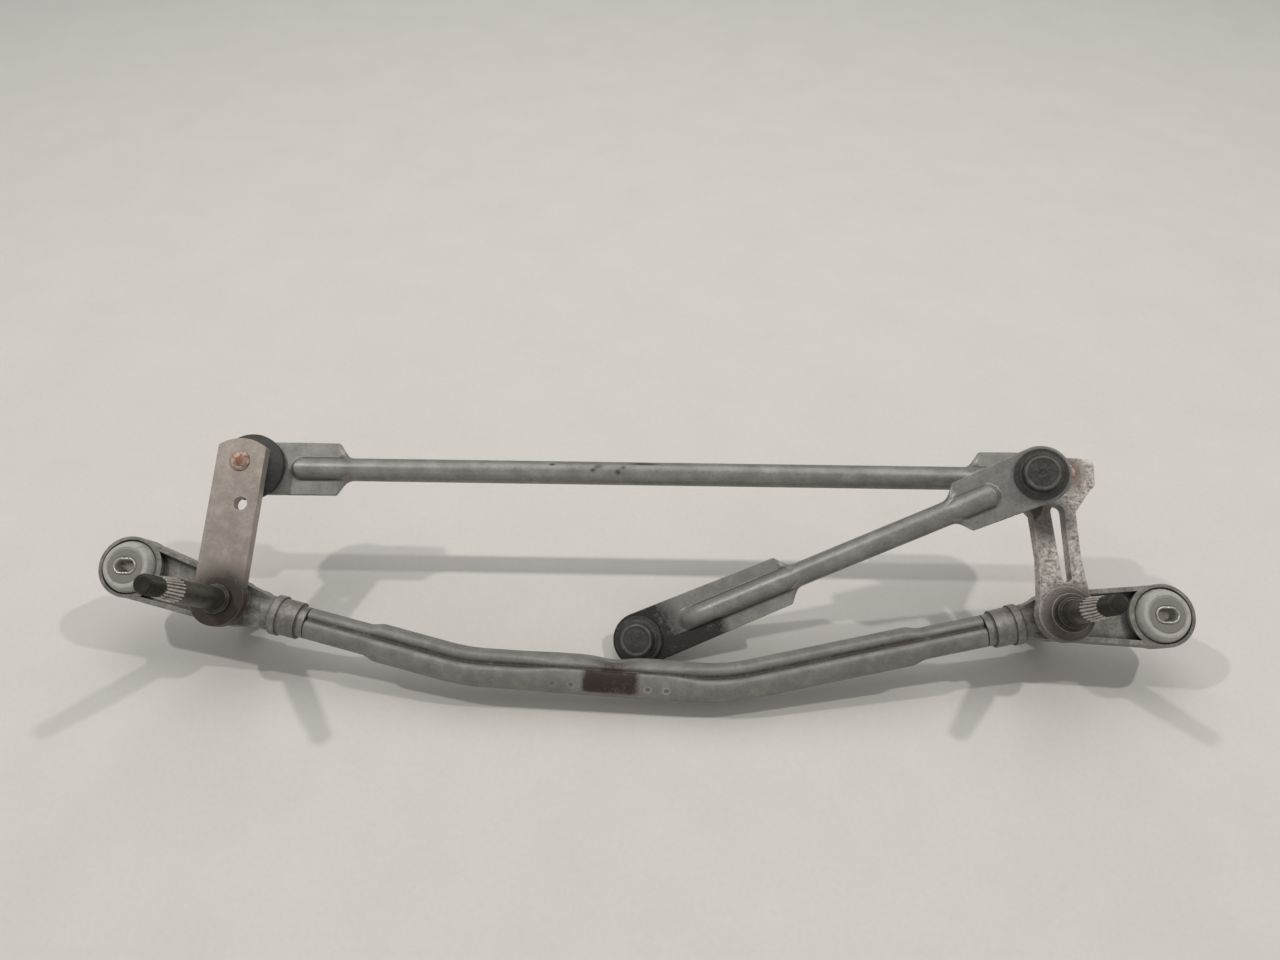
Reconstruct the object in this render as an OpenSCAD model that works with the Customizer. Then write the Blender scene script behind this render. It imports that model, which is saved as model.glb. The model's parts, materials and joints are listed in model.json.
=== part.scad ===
// Wiper linkage: a bent frame tube with two pivot housings, two cranks, a tie rod and a drive rod.
// Linkage axes: X along the pivot line, Y to the rear, Z along the pivot shafts, tube axis at Z 0.
// The linkage lies on a flat table on its two bearing sleeves and on the drive rod's free end.

/* [Linkage] */
// Distance between the two pivot shafts
pivot_span = 450; // [420:1:480]
// Crank length from pivot shaft to tie rod ball
crank_len = 76; // [72:0.5:80]
// Lean of both cranks to the right
crank_lean = 3.5; // [0:0.5:8]
// Height of the cranks' undersides over the tube axis
crank_z = 14; // [13.5:0.5:16]
// Drive rod ball to the left of the right pivot
drive_ball_x = 14.1; // [12:0.1:17]
// Drive rod ball to the rear of the right pivot
drive_ball_y = 71.2; // [68:0.2:75]
// Drive rod free end to the right of the middle
free_end_x = 0.8; // [-12:0.2:12]
// Drive rod free end in front of the pivot line
free_end_y = 15.3; // [12:0.1:17]
// Air between the drive rod's free end and the tube
free_end_gap = 0.8; // [0.6:0.1:3]
// Lean of the linkage on the table
table_lean = 33; // [30:0.5:36]

/* [Frame tube] */
// Outer diameter of the tube
tube_d = 21; // [19:0.5:22]
// Wall of the tube
tube_wall = 1.5; // [1.2:0.1:1.8]
// Diameter of the swaged ends
neck_d = 17.2; // [16:0.2:18]
// Length of a swaged end
neck_len = 33; // [28:1:38]
// Length of the step from a swaged end to full size
neck_step = 9; // [6:1:14]
// Left leg from pivot to bend
left_leg = 135.6; // [120:0.2:150]
// Fall of the left leg to the front
left_fall = 13.8; // [10:0.2:16]
// Right leg from pivot to bend
right_leg = 181.3; // [165:0.2:195]
// Fall of the right leg to the front
right_fall = 12.5; // [10:0.2:15]
// Radius of the two bends
bend_r = 120; // [80:5:160]
// Depth of the pressed groove along the top
groove_depth = 3.2; // [2:0.1:4]
// Turn of the groove from the top to the rear
groove_turn = 18; // [0:1:24]
// Half angle of the groove on the legs
groove_angle = 15; // [12:1:22]
// Half angle of the groove in the saddle
saddle_groove_angle = 9; // [7:1:14]
// Saddle centre to the left of the middle
saddle_x = 12.5; // [0:0.5:25]
// Half length of the saddle
saddle_half = 40; // [30:1:46]
// Squeeze of the tube in the saddle
saddle_squeeze = 0.07; // [0:0.01:0.12]
// Depth of the notch in the saddle's rear edge
notch_depth = 2.6; // [1:0.1:3]
// Half width of that notch
notch_half = 9; // [6:0.5:12]

/* [Pivot housings] */
// Eye centre outward of the pivot
eye_x = 56; // [52:0.5:60]
// Left eye to the rear of the pivot
left_eye_y = 17.8; // [10:0.2:20]
// Right eye to the rear of the pivot
right_eye_y = 1; // [-4:0.2:8]
// Eye outer diameter
eye_d = 34; // [33:0.5:38]
// Eye wall
eye_wall = 1.8; // [1.4:0.1:2.2]
// Height of an eye and its arm
arm_h = 16; // [14:0.5:18]
// Thickness of the web that holds the grommet
web_t = 5; // [4:0.5:6]
// Boss diameter at the pivot
boss_d = 26; // [24:0.5:28]
// Bearing sleeve diameter under the arm
sleeve_d = 21; // [20:0.5:22]
// Width of the arm's rim
rim_w = 3; // [2.5:0.5:4]
// Depth of the arm's pockets
pocket_depth = 4.5; // [3:0.5:5.5]
// Neck diameter towards the tube
cast_neck_d = 19; // [18:0.5:20]
// Ring collar diameter at the neck
collar_d = 22; // [21:0.5:24]
// Ring collar length
collar_len = 5; // [4:0.5:7]
// Band diameter between collar and tube
band_d = 20.2; // [19.4:0.2:20.8]
// Band length
band_len = 10.5; // [8:0.5:12]
// Length of the lead before the tube
lead_len = 4.5; // [3:0.5:5]
// Left tube end from the pivot
left_tube_start = 45.5; // [42:0.5:48]
// Right tube end from the pivot
right_tube_start = 39; // [38:0.5:44]
// Spigot length in the tube
spigot_len = 30; // [20:1:34]

/* [Pivot shafts] */
// Shaft diameter
shaft_d = 12; // [11:0.5:13]
// Bearing bush outer diameter
bush_d = 16; // [15:0.5:17]
// Bearing bush length
bush_len = 14; // [10:1:16]
// Radial running clearance of the shafts
run_clear = 0.05; // [0.02:0.01:0.1]
// Left tip over the crank underside
left_tip = 81; // [70:1:90]
// Right tip over the crank underside
right_tip = 65; // [58:1:75]
// Length of the tapered knurl
knurl_len = 18; // [14:1:20]
// Knurl diameter at its narrow end
knurl_end_d = 10.8; // [10.6:0.1:11]
// Thread diameter
thread_d = 10; // [8:0.5:10.5]
// Thread length
thread_len = 17; // [14:0.5:20]
// Collar diameter over a crank
shaft_collar_d = 16.4; // [15:0.2:18]

/* [Cranks] */
// Left crank plate thickness
plate_t = 6; // [5:0.5:7]
// Left crank plate width
plate_w = 26.5; // [24:0.5:29]
// Left crank round end diameter
plate_hub_d = 29; // [28:0.5:33]
// Top arc radius of the plate
plate_arc_r = 22; // [20:0.5:26]
// Spare hole along the plate
spare_y = 52.5; // [46:0.5:56]
// Spare hole diameter
spare_d = 7.5; // [5:0.5:9]
// Right crank arm thickness
arm_t = 7; // [6:0.5:8]
// Half width of the right crank at its hub
arm_foot = 13.8; // [12:0.2:14.4]
// Waist of the right crank from its hub
waist_y = 29; // [24:1:36]
// Left half width of the waist
waist_left = 12.8; // [11:0.2:14]
// Right half width of the waist
waist_right = 9.2; // [8:0.2:12]
// Pad of the right crank from its hub
pad_y = 54; // [50:1:57]
// Left half width under the pad
pad_left = 14.8; // [13:0.2:17]
// Right half width under the pad
pad_right = 8.2; // [7.5:0.2:11]
// Pad edge to the right of the tie rod stud
pad_reach = 15; // [12:0.5:17]
// Pad edge to the rear of the tie rod stud
pad_top = 7.5; // [7:0.5:11]
// Pad radius round the drive rod stud
pad_r = 13.8; // [12:0.2:15]
// Corner radius of the pad
pad_corner = 4; // [2:0.5:5]
// Slot radius at the pad
rib_slot_r = 3.7; // [3:0.1:4.5]
// Slot radius at the hub
rib_slot_foot_r = 2.6; // [2:0.1:3.5]
// Slot end from the hub
rib_slot_y = 19; // [18:0.5:24]
// Right crank hub diameter
hub_d = 29.6; // [28:0.2:32]
// Right crank hub height over the arm
hub_rise = 5.5; // [4:0.5:8]

/* [Ball joints] */
// Ball diameter
ball_d = 14; // [12:0.5:14.5]
// Ball clearance in its socket
ball_clear = 0.06; // [0.03:0.01:0.1]
// Ball centre under the cranks for the tie rod
tie_reach = 12; // [11.5:0.5:14]
// Ball centre over the right crank for the drive rod
drive_reach = 13; // [12.5:0.5:15]
// Ball neck diameter
ball_neck_d = 8.4; // [7:0.2:9]
// Rivet head diameter
rivet_d = 11.2; // [10:0.2:12]
// Socket cup diameter
cup_d = 20; // [19.5:0.5:22]
// Socket flange diameter
flange_d = 27; // [25:0.5:29]
// Socket cap diameter
cap_d = 18; // [16:0.2:18.6]
// Wall over the ball
cap_wall = 1.6; // [1.2:0.1:2]
// Wide boot diameter on the left tie rod ball
wide_boot_d = 38; // [34:0.5:40]
// Narrow boot diameter
narrow_boot_d = 25; // [24:0.2:25.4]

/* [Rods] */
// Rod tube diameter
rod_d = 13; // [12:0.5:14]
// Sheet thickness of a rod
sheet_t = 2.2; // [1.8:0.1:2.6]
// Rod head diameter
head_d = 30.6; // [29:0.2:33]
// Tie rod head width at its shoulders
tie_shoulder_w = 30; // [28:0.2:31]
// Drive rod head width at its shoulders
drive_shoulder_w = 27.4; // [25:0.2:29]
// Length of the shoulders
shoulder_run = 9; // [7:0.5:12]
// Bead nose from the ball
nose_x = 21; // [20.5:0.5:26]
// Left tie rod head length
tie_left_head = 49; // [44:1:56]
// Right tie rod head length
tie_right_head = 40; // [36:1:50]
// Drive rod head length at the crank
drive_crank_head = 43; // [38:1:50]
// Drive rod head length at the free end
drive_free_head = 88; // [70:1:95]

/* [Grommets] */
// Grommet top disc diameter
disc_d = 19; // [18:0.5:21]
// Grommet height over the eye
disc_rise = 4.5; // [3:0.5:6]
// Slot length in the grommet sleeve
slot_l = 10.4; // [10:0.2:12]
// Slot width in the grommet sleeve
slot_w = 6.9; // [6:0.1:7.2]
// Sleeve wall
slot_wall = 1.1; // [0.8:0.1:1.3]

/* [Hidden] */
$fn = 72;
eps = 0.02;
left_pivot = [-pivot_span / 2, 0];
right_pivot = [pivot_span / 2, 0];
crank_vec = crank_len * [sin(crank_lean), cos(crank_lean)];
drive_vec = [-drive_ball_x, drive_ball_y];
left_eye = left_pivot + [-eye_x, left_eye_y];
right_eye = right_pivot + [eye_x, right_eye_y];
shaft_r = shaft_d / 2;
ball_r = ball_d / 2;
cap_top = ball_r + ball_clear + cap_wall;
mouth_z = 5;
mouth_r = 6.1;
lip_r = cup_d / 2 + 1;
snap_clear = 0.05;
flange_top = 3.4;
chamfer = 1;
grommet_neck_r = 10.6;
tube_gap = 0.6;
spigot_clear = 0.3;
spigot_flat_r = 4.6;
stud_shank_r = 4.6;
nose_len = 4.5;
nose_share = 0.6;
tangent_dip = 0.1;

// Balls of the rods and the drive rod's slope
tie_z = crank_z - tie_reach;
drive_ball = [right_pivot.x + drive_vec.x, drive_vec.y, crank_z + arm_t + drive_reach];
free_plan = norm([drive_ball.x - free_end_x, drive_ball.y + free_end_y]);
drive_turn = atan2(drive_ball.y + free_end_y, drive_ball.x - free_end_x);
function cap_rise(b) = cap_top * cos(b) + cap_d / 2 * sin(b);
function slope_for(z) = atan2(drive_ball.z - z, free_plan);
free_z_guess = -tube_d / 2 - free_end_gap - cap_rise(14);
free_z = -tube_d / 2 - free_end_gap - cap_rise(slope_for(free_z_guess));
drive_slope = slope_for(free_z);
drive_len = norm([free_plan, drive_ball.z - free_z]);
free_ball = [free_end_x, -free_end_y, free_z];

// Table under the linkage: up_dir points away from it, drive_up along the free socket
up_dir = [0, sin(table_lean), cos(table_lean)];
drive_up = [-sin(drive_slope) * cos(drive_turn), -sin(drive_slope) * sin(drive_turn), cos(drive_slope)];
tilt_sine = sqrt(1 - pow(up_dir * drive_up, 2));
function rim_height(d, r) = up_dir * (free_ball - d * drive_up) - r * tilt_sine;
head_height = min(rim_height(sheet_t / 2, head_d / 2), rim_height(mouth_z, lip_r));
sleeve_z = (head_height + sleeve_d / 2 * sin(table_lean)) / cos(table_lean);
table_lift = -head_height;
front_y = -(crank_z + left_tip - chamfer) * sin(table_lean) - thread_d / 2 * cos(table_lean);
boot_rim = 3.2;
boot_top = 9.8;
tie_hole_r = ball_neck_d / 2 + 1.1;
drive_hole_r = ball_neck_d / 2 / cos(drive_slope) + boot_top * tan(drive_slope) + 0.4;
rear_y = (crank_vec.y + wide_boot_d / 2) * cos(table_lean) - (tie_z + boot_rim) * sin(table_lean);
table_shift = -(front_y + rear_y) / 2;

// Bearing stack under and over the bushes
recess_r = bush_d / 2 + 1;
recess_h = 6;
washer_t = 1;
clip_t = 1.2;
clip_groove_r = shaft_r - 0.8;
play = 0.3;
seal_t = 2;
boss_top = crank_z - play - seal_t;
shaft_end_z = sleeve_z + 1.5;
washer_z = sleeve_z + recess_h - play - washer_t;
clip_z = washer_z - play / 2 - clip_t;

// Path of the tube: left leg, bend, saddle, bend, right leg
left_dir = [cos(left_fall), -sin(left_fall)];
right_dir = [-cos(right_fall), -sin(right_fall)];
bend_a = left_pivot + left_leg * left_dir;
bend_b = right_pivot + right_leg * right_dir;
mid_angle = atan2(bend_b.y - bend_a.y, bend_b.x - bend_a.x);
turn_a = mid_angle + left_fall;
turn_b = right_fall - mid_angle;
cut_a = bend_r * tan(turn_a / 2);
cut_b = bend_r * tan(turn_b / 2);
len_a = left_leg - left_tube_start - cut_a;
arc_a = bend_r * turn_a * PI / 180;
len_m = norm(bend_b - bend_a) - cut_a - cut_b;
arc_b = bend_r * turn_b * PI / 180;
len_b = right_leg - right_tube_start - cut_b;
s_a = len_a + arc_a;
s_m = s_a + len_m;
s_b = s_m + arc_b;
s_end = s_b + len_b;
saddle_s = s_a + (-saddle_x - bend_a.x) / cos(mid_angle) - cut_a;
function heading(s) =
    s < len_a ? -left_fall :
    s < s_a ? -left_fall + turn_a * (s - len_a) / arc_a :
    s < s_m ? mid_angle :
    s < s_b ? mid_angle + turn_b * (s - s_m) / arc_b : right_fall;
function unit(a) = [cos(a), sin(a)];
function arc_step(a0, a1) = bend_r * [sin(a1) - sin(a0), cos(a0) - cos(a1)];
arc_a_start = bend_a - cut_a * unit(-left_fall);
arc_b_start = bend_b - cut_b * unit(mid_angle);
function path(s) =
    s < len_a ? left_pivot + (left_tube_start + s) * left_dir :
    s < s_a ? arc_a_start + arc_step(-left_fall, heading(s)) :
    s < s_m ? bend_a + (cut_a + s - s_a) * unit(mid_angle) :
    s < s_b ? arc_b_start + arc_step(mid_angle, heading(s)) :
    right_pivot + (right_tube_start + s_end - s) * right_dir;

// Section of the tube: swage at the ends, groove along the top, squeeze and notch in the saddle
function ease(t) = let (u = min(max(t, 0), 1)) u * u * (3 - 2 * u);
function bell(t) = exp(-t * t);
function swell(s) = ease((min(s, s_end - s) - neck_len) / neck_step);
function saddle(s) = 1 - ease((abs(s - saddle_s) - saddle_half * 0.7) / (saddle_half * 0.6));
function tube_r(s) = (neck_d + (tube_d - neck_d) * swell(s)) / 2;
function groove_half(s) = groove_angle + (saddle_groove_angle - groove_angle) * saddle(s);
function groove(s) = groove_depth * (0.6 + 0.4 * swell(s)) * (1 - 0.3 * saddle(s));
function notch(s) = notch_depth * bell((s - saddle_s) / notch_half);
function section_r(s, a, inset) =
    tube_r(s) - inset
    - groove(s) * bell((a - groove_at) / groove_half(s))
    - notch(s) * (bell((a - notch_at) / notch_spread) + bell((a - notch_at - 360) / notch_spread));
groove_at = 90 - groove_turn;
notch_at = 20;
notch_spread = 40;
ring_n = 40;
ring_bias = 0.6;
function ring_angle(j) = groove_at + 360 * j / ring_n - ring_bias * 180 / PI * sin(360 * j / ring_n);
function wrap(a) = a > groove_at + 180 ? a - 360 : a;
function section(s, inset) =
    let (p = path(s), n = unit(heading(s) + 90), k = saddle_squeeze * saddle(s))
    [for (j = [0:ring_n - 1])
        let (a = wrap(ring_angle(j)), r = section_r(s, a, inset), v = r * cos(a) * (1 + k / 2))
        [p.x + n.x * v, p.y + n.y * v, r * sin(a) * (1 - k)]];
function span(a, b, n) = [for (i = [1:n]) a + (b - a) * i / n];
stations = concat(
    [0],
    span(0, neck_len, 1),
    span(neck_len, neck_len + neck_step, 4),
    span(neck_len + neck_step, len_a, 1),
    span(len_a, s_a, 4),
    span(s_a, saddle_s - saddle_half, 2),
    span(saddle_s - saddle_half, saddle_s - notch_half, 3),
    span(saddle_s - notch_half, saddle_s + notch_half, 6),
    span(saddle_s + notch_half, saddle_s + saddle_half, 3),
    span(saddle_s + saddle_half, s_m, 1),
    span(s_m, s_b, 5),
    span(s_b, s_end - neck_len - neck_step, 1),
    span(s_end - neck_len - neck_step, s_end - neck_len, 4),
    span(s_end - neck_len, s_end, 1));
station_n = len(stations);

// Outline of the cast crank: waist, rounded pad corners and the round end at the drive rod stud
function arc(c, r, a0, a1) = [for (i = [0:5]) c + r * unit(a0 + (a1 - a0) * i / 5)];
pad_edge = crank_vec.x + pad_reach;
pad_low = crank_vec.y - pad_top - pad_corner / 2;
arm_outline = concat(
    [[-arm_foot, 0], [arm_foot, 0], [waist_right, waist_y], [pad_right, pad_y]],
    arc([pad_edge - pad_corner, pad_low + pad_corner], pad_corner, -70, 0),
    arc([pad_edge - pad_corner, crank_vec.y + pad_top - pad_corner], pad_corner, 0, 90),
    arc(drive_vec, pad_r, 90, 205),
    [[-pad_left, pad_y - 2], [-waist_left, waist_y]]);

// Places the linkage on the table
module on_table() {
    translate([0, table_shift, table_lift])
        rotate([table_lean, 0, 0])
            children();
}

module at(p, z = 0) {
    translate([p.x, p.y, z])
        children();
}

// Ring of a given bore between two heights
module tube_ring(r_out, r_in, z0, z1) {
    difference() {
        translate([0, 0, z0])
            cylinder(r = r_out, h = z1 - z0);
        translate([0, 0, z0 - 1])
            cylinder(r = r_in, h = z1 - z0 + 2);
    }
}

// Outline round two circles with its straight tangents
module link_outline(p, r, q, s) {
    d = norm(q - p);
    f = atan2(q.y - p.y, q.x - p.x);
    g = acos((r - s) / d);
    translate(p)
        circle(r = r);
    translate(q)
        circle(r = s);
    polygon([p + r * unit(f + g), p + r * unit(f - g), q + s * unit(f - g), q + s * unit(f + g)]);
}

module oblong(l, w) {
    translate([-(l - w) / 2, 0])
        circle(d = w);
    translate([(l - w) / 2, 0])
        circle(d = w);
    square([l - w, w], center = true);
}

// Bent tube swept through its changing section, with its inner wall
module frame_tube() {
    shell = [for (s = stations) each section(s, 0)];
    core = [for (s = stations) each section(s, tube_wall)];
    base = station_n * ring_n;
    last = (station_n - 1) * ring_n;
    skin = [for (k = [0:station_n - 2], j = [0:ring_n - 1])
        let (a = k * ring_n + j, b = k * ring_n + (j + 1) % ring_n)
        each [[a, a + ring_n, b], [b, a + ring_n, b + ring_n]]];
    ends = [for (j = [0:ring_n - 1])
        let (i = (j + 1) % ring_n)
        each [[j, i, base + i], [j, base + i, base + j],
            [last + i, last + j, base + last + j], [last + i, base + last + j, base + last + i]]];
    inner = [for (f = skin) [base + f[0], base + f[2], base + f[1]]];
    color("silver")
        on_table()
            polyhedron(points = concat(shell, core), faces = concat(skin, inner, ends));
}

// Cast housing: eye and arm, boss with bearing sleeve, neck, collar and spigot
module housing(pivot, eye, axis, tube_start) {
    arm_z = -arm_h / 2;
    spigot_r = neck_d / 2 - tube_wall - spigot_clear;
    neck_end = tube_start - tube_gap - lead_len - band_len - collar_len;
    neck_foot = pivot + (neck_end - 4) * unit(axis);
    difference() {
        union() {
            translate([0, 0, arm_z])
                linear_extrude(arm_h)
                    link_outline(eye, eye_d / 2 - 0.4, pivot, boss_d / 2 - 0.3);
            translate([0, 0, arm_z + 1])
                linear_extrude(arm_h - 2)
                    link_outline(pivot, boss_d / 2 - 0.3, neck_foot, cast_neck_d / 2 - 0.6);
            at(eye, arm_z)
                cylinder(d = eye_d, h = arm_h);
            at(pivot, arm_z - 1)
                cylinder(d = boss_d, h = boss_top - arm_z + 1);
            at(pivot, sleeve_z)
                cylinder(d = sleeve_d, h = arm_z - sleeve_z);
            at(pivot)
                rotate([0, 0, axis])
                    rotate([0, 90, 0]) {
                        cylinder(d = cast_neck_d, h = neck_end + eps);
                        translate([0, 0, neck_end])
                            cylinder(d1 = cast_neck_d, d2 = collar_d, h = chamfer);
                        translate([0, 0, neck_end + chamfer])
                            cylinder(d = collar_d, h = collar_len - chamfer);
                        translate([0, 0, neck_end + collar_len - eps])
                            cylinder(d = band_d, h = band_len + eps);
                        translate([0, 0, tube_start - tube_gap - lead_len - eps])
                            cylinder(d = neck_d, h = lead_len + eps);
                        translate([0, 0, tube_start - tube_gap - eps])
                            cylinder(r = spigot_r, h = spigot_len + tube_gap + eps);
                    }
        }
        for (side = [1, -1])
            scale([1, 1, side])
                translate([0, 0, arm_h / 2 - pocket_depth])
                    linear_extrude(pocket_depth + 20)
                        pocket_outline(pivot, eye);
        at(eye, web_t / 2)
            cylinder(r = eye_d / 2 - eye_wall, h = arm_h);
        at(eye, -web_t / 2 - arm_h)
            cylinder(r = eye_d / 2 - eye_wall, h = arm_h);
        at(eye, -arm_h)
            cylinder(r = grommet_neck_r, h = 2 * arm_h);
        at(pivot, sleeve_z - 1)
            cylinder(d = bush_d, h = boss_top - sleeve_z + 2);
        at(pivot, sleeve_z - 1)
            cylinder(r = recess_r, h = recess_h + 1);
        at(pivot)
            rotate([-groove_turn * sign(cos(axis)), 0, axis])
                translate([tube_start - tube_gap, 0, spigot_r + spigot_flat_r - groove_depth])
                    rotate([0, 90, 0])
                        cylinder(r = spigot_flat_r, h = spigot_len + 2);
    }
}

// Sunk field of an arm between its eye wall and its boss
module pocket_outline(pivot, eye) {
    difference() {
        link_outline(eye, eye_d / 2 - rim_w, pivot, boss_d / 2 - rim_w);
        translate(eye)
            circle(d = eye_d + 2);
        translate(pivot)
            circle(d = boss_d + 1);
    }
}

module left_housing() {
    color("gray")
        on_table()
            housing(left_pivot, left_eye, -left_fall, left_tube_start);
}

module right_housing() {
    color("gray")
        on_table()
            housing(right_pivot, right_eye, 180 + right_fall, right_tube_start);
}

module upper_bush(pivot) {
    color("peru")
        on_table()
            at(pivot)
                tube_ring(bush_d / 2, shaft_r + run_clear, boss_top - bush_len, boss_top);
}

module lower_bush(pivot) {
    color("peru")
        on_table()
            at(pivot)
                tube_ring(bush_d / 2, shaft_r + run_clear, sleeve_z + recess_h, sleeve_z + recess_h + bush_len);
}

module left_upper_bush() upper_bush(left_pivot);
module left_lower_bush() lower_bush(left_pivot);
module right_upper_bush() upper_bush(right_pivot);
module right_lower_bush() lower_bush(right_pivot);

// Thrust ring with a rounded edge between a boss and its crank
module seal(pivot) {
    color("dimgray")
        on_table()
            at(pivot)
                rotate_extrude()
                    polygon([
                        [shaft_r + 0.4, boss_top],
                        [boss_d / 2 - 1, boss_top],
                        [boss_d / 2 - 1, boss_top + seal_t - 0.6],
                        [boss_d / 2 - 1.6, boss_top + seal_t],
                        [shaft_r + 0.4, boss_top + seal_t]]);
}

module left_seal() seal(left_pivot);
module right_seal() seal(right_pivot);

// Rubber grommet that is buttoned into an eye
module grommet(eye) {
    flange_r = eye_d / 2 - eye_wall - 0.7;
    top_z = arm_h / 2 + disc_rise;
    half = [
        [grommet_neck_r - 0.1, web_t / 2 + 0.05],
        [flange_r, web_t / 2 + 0.05],
        [flange_r, arm_h / 2 - 0.6],
        [flange_r - 2.2, top_z - 1.6],
        [disc_d / 2 + 0.5, top_z]];
    color("darkgray")
        on_table()
            at(eye)
                difference() {
                    rotate_extrude()
                        polygon(concat(
                            [[0, -top_z]],
                            [for (i = [4:-1:0]) [half[i].x, -half[i].y]],
                            half,
                            [[0, top_z]]));
                    translate([0, 0, -top_z - 1])
                        linear_extrude(2 * top_z + 2)
                            oblong(slot_l + 2 * slot_wall, slot_w + 2 * slot_wall);
                }
}

module left_grommet() grommet(left_eye);
module right_grommet() grommet(right_eye);

// Oblong metal sleeve through a grommet
module grommet_sleeve(eye) {
    reach = arm_h / 2 + disc_rise + 0.8;
    color("lightgray")
        on_table()
            at(eye)
                difference() {
                    translate([0, 0, -reach])
                        linear_extrude(2 * reach)
                            oblong(slot_l + 2 * slot_wall, slot_w + 2 * slot_wall);
                    translate([0, 0, -reach - 1])
                        linear_extrude(2 * reach + 2)
                            oblong(slot_l, slot_w);
                }
}

module left_grommet_sleeve() grommet_sleeve(left_eye);
module right_grommet_sleeve() grommet_sleeve(right_eye);

// Pivot shaft with clip groove, collar on its crank, tapered knurl and thread
module shaft(pivot, seat_top, tip) {
    tip_z = crank_z + tip;
    thread_z = tip_z - thread_len;
    knurl_z = thread_z - knurl_len;
    color("dimgray")
        on_table()
            at(pivot)
                rotate_extrude()
                    polygon([
                        [0, shaft_end_z],
                        [shaft_r - 0.6, shaft_end_z],
                        [shaft_r, shaft_end_z + 0.6],
                        [shaft_r, clip_z - 0.05],
                        [clip_groove_r, clip_z - 0.05],
                        [clip_groove_r, clip_z + clip_t + 0.05],
                        [shaft_r, clip_z + clip_t + 0.05],
                        [shaft_r, seat_top],
                        [shaft_collar_d / 2, seat_top],
                        [shaft_collar_d / 2, seat_top + 1.6],
                        [shaft_collar_d / 2 - 1, seat_top + 2.6],
                        [shaft_r + 0.2, seat_top + 2.6],
                        [shaft_r + 0.2, knurl_z],
                        [knurl_end_d / 2, thread_z],
                        [thread_d / 2 - 0.8, thread_z],
                        [thread_d / 2 - 0.8, thread_z + 1.5],
                        [thread_d / 2, thread_z + 2.3],
                        [thread_d / 2, tip_z - chamfer],
                        [thread_d / 2 - chamfer, tip_z],
                        [0, tip_z]]);
}

module left_shaft() shaft(left_pivot, crank_z + plate_t, left_tip);
module right_shaft() shaft(right_pivot, crank_z + arm_t + hub_rise, right_tip);

module washer(pivot) {
    color("silver")
        on_table()
            at(pivot)
                tube_ring(recess_r - 0.5, shaft_r + 0.1, washer_z, washer_z + washer_t);
}

module left_washer() washer(left_pivot);
module right_washer() washer(right_pivot);

// Open spring clip in the groove of a shaft
module circlip(pivot) {
    color("darkslategray")
        on_table()
            at(pivot)
                difference() {
                    tube_ring(recess_r - 1, clip_groove_r + 0.02, clip_z, clip_z + clip_t);
                    translate([0, -2, clip_z - 1])
                        cube([2 * recess_r, 4, clip_t + 2]);
                }
}

module left_circlip() circlip(left_pivot);
module right_circlip() circlip(right_pivot);

// Flat stamped crank with a round lower end and an arched top
module left_crank_plate() {
    color("tan")
        on_table()
            at(left_pivot, crank_z)
                rotate([0, 0, -crank_lean])
                    difference() {
                        linear_extrude(plate_t)
                            difference() {
                                union() {
                                    circle(d = plate_hub_d);
                                    translate([-plate_w / 2, 0])
                                        square([plate_w, crank_len - 12]);
                                    intersection() {
                                        translate([-plate_w / 2, crank_len - 13])
                                            square([plate_w, 40]);
                                        translate([0, crank_len - 9])
                                            circle(r = plate_arc_r);
                                    }
                                }
                                circle(r = shaft_r);
                                translate([4.2, spare_y])
                                    circle(d = spare_d);
                                translate([0, crank_len])
                                    circle(r = stud_shank_r);
                            }
                    }
}

// Ball stud: ball at the origin, neck up to the crank, shank through it and riveted head
module stud_shape(reach, through) {
    sphere(r = ball_r);
    cylinder(d = ball_neck_d, h = reach);
    translate([0, 0, reach - 1.4])
        cylinder(r = stud_shank_r + 1.4, h = 1.4);
    translate([0, 0, reach - eps])
        cylinder(r = stud_shank_r, h = through + 2 * eps);
    translate([0, 0, reach + through])
        cylinder(d1 = rivet_d, d2 = rivet_d - 2.4, h = 1.6);
}

module left_ball_stud() {
    color("darkgoldenrod")
        on_table()
            at(left_pivot + crank_vec, tie_z)
                stud_shape(tie_reach, plate_t);
}

module right_tie_stud() {
    color("darkgoldenrod")
        on_table()
            at(right_pivot + crank_vec, tie_z)
                stud_shape(tie_reach, arm_t);
}

module right_drive_stud() {
    color("darkgoldenrod")
        on_table()
            translate(drive_ball)
                mirror([0, 0, 1])
                    stud_shape(drive_reach, arm_t);
}

// Cast crank: hub, two ribs with a slot between them and a wide pad for two studs
module right_crank_arm() {
    color("rosybrown")
        on_table()
            at(right_pivot, crank_z)
                difference() {
                    union() {
                        linear_extrude(arm_t)
                            difference() {
                                union() {
                                    circle(d = hub_d);
                                    polygon(arm_outline);
                                }
                                hull() {
                                    translate([(pad_right - pad_left) / 2 + 1.9, pad_y])
                                        circle(r = rib_slot_r, $fn = 32);
                                    translate([(waist_right - waist_left) / 2 + 2.8, rib_slot_y])
                                        circle(r = rib_slot_foot_r, $fn = 32);
                                }
                            }
                        translate([0, 0, arm_t - eps])
                            cylinder(d1 = hub_d - 1.5, d2 = shaft_collar_d + 4, h = hub_rise + eps);
                    }
                    translate([0, 0, -1])
                        cylinder(r = shaft_r, h = arm_t + hub_rise + 2);
                    translate([crank_vec.x, crank_vec.y, -1])
                        cylinder(r = stud_shank_r, h = arm_t + 2);
                    translate([drive_vec.x, drive_vec.y, -1])
                        cylinder(r = stud_shank_r, h = arm_t + 2);
                }
}

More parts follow.
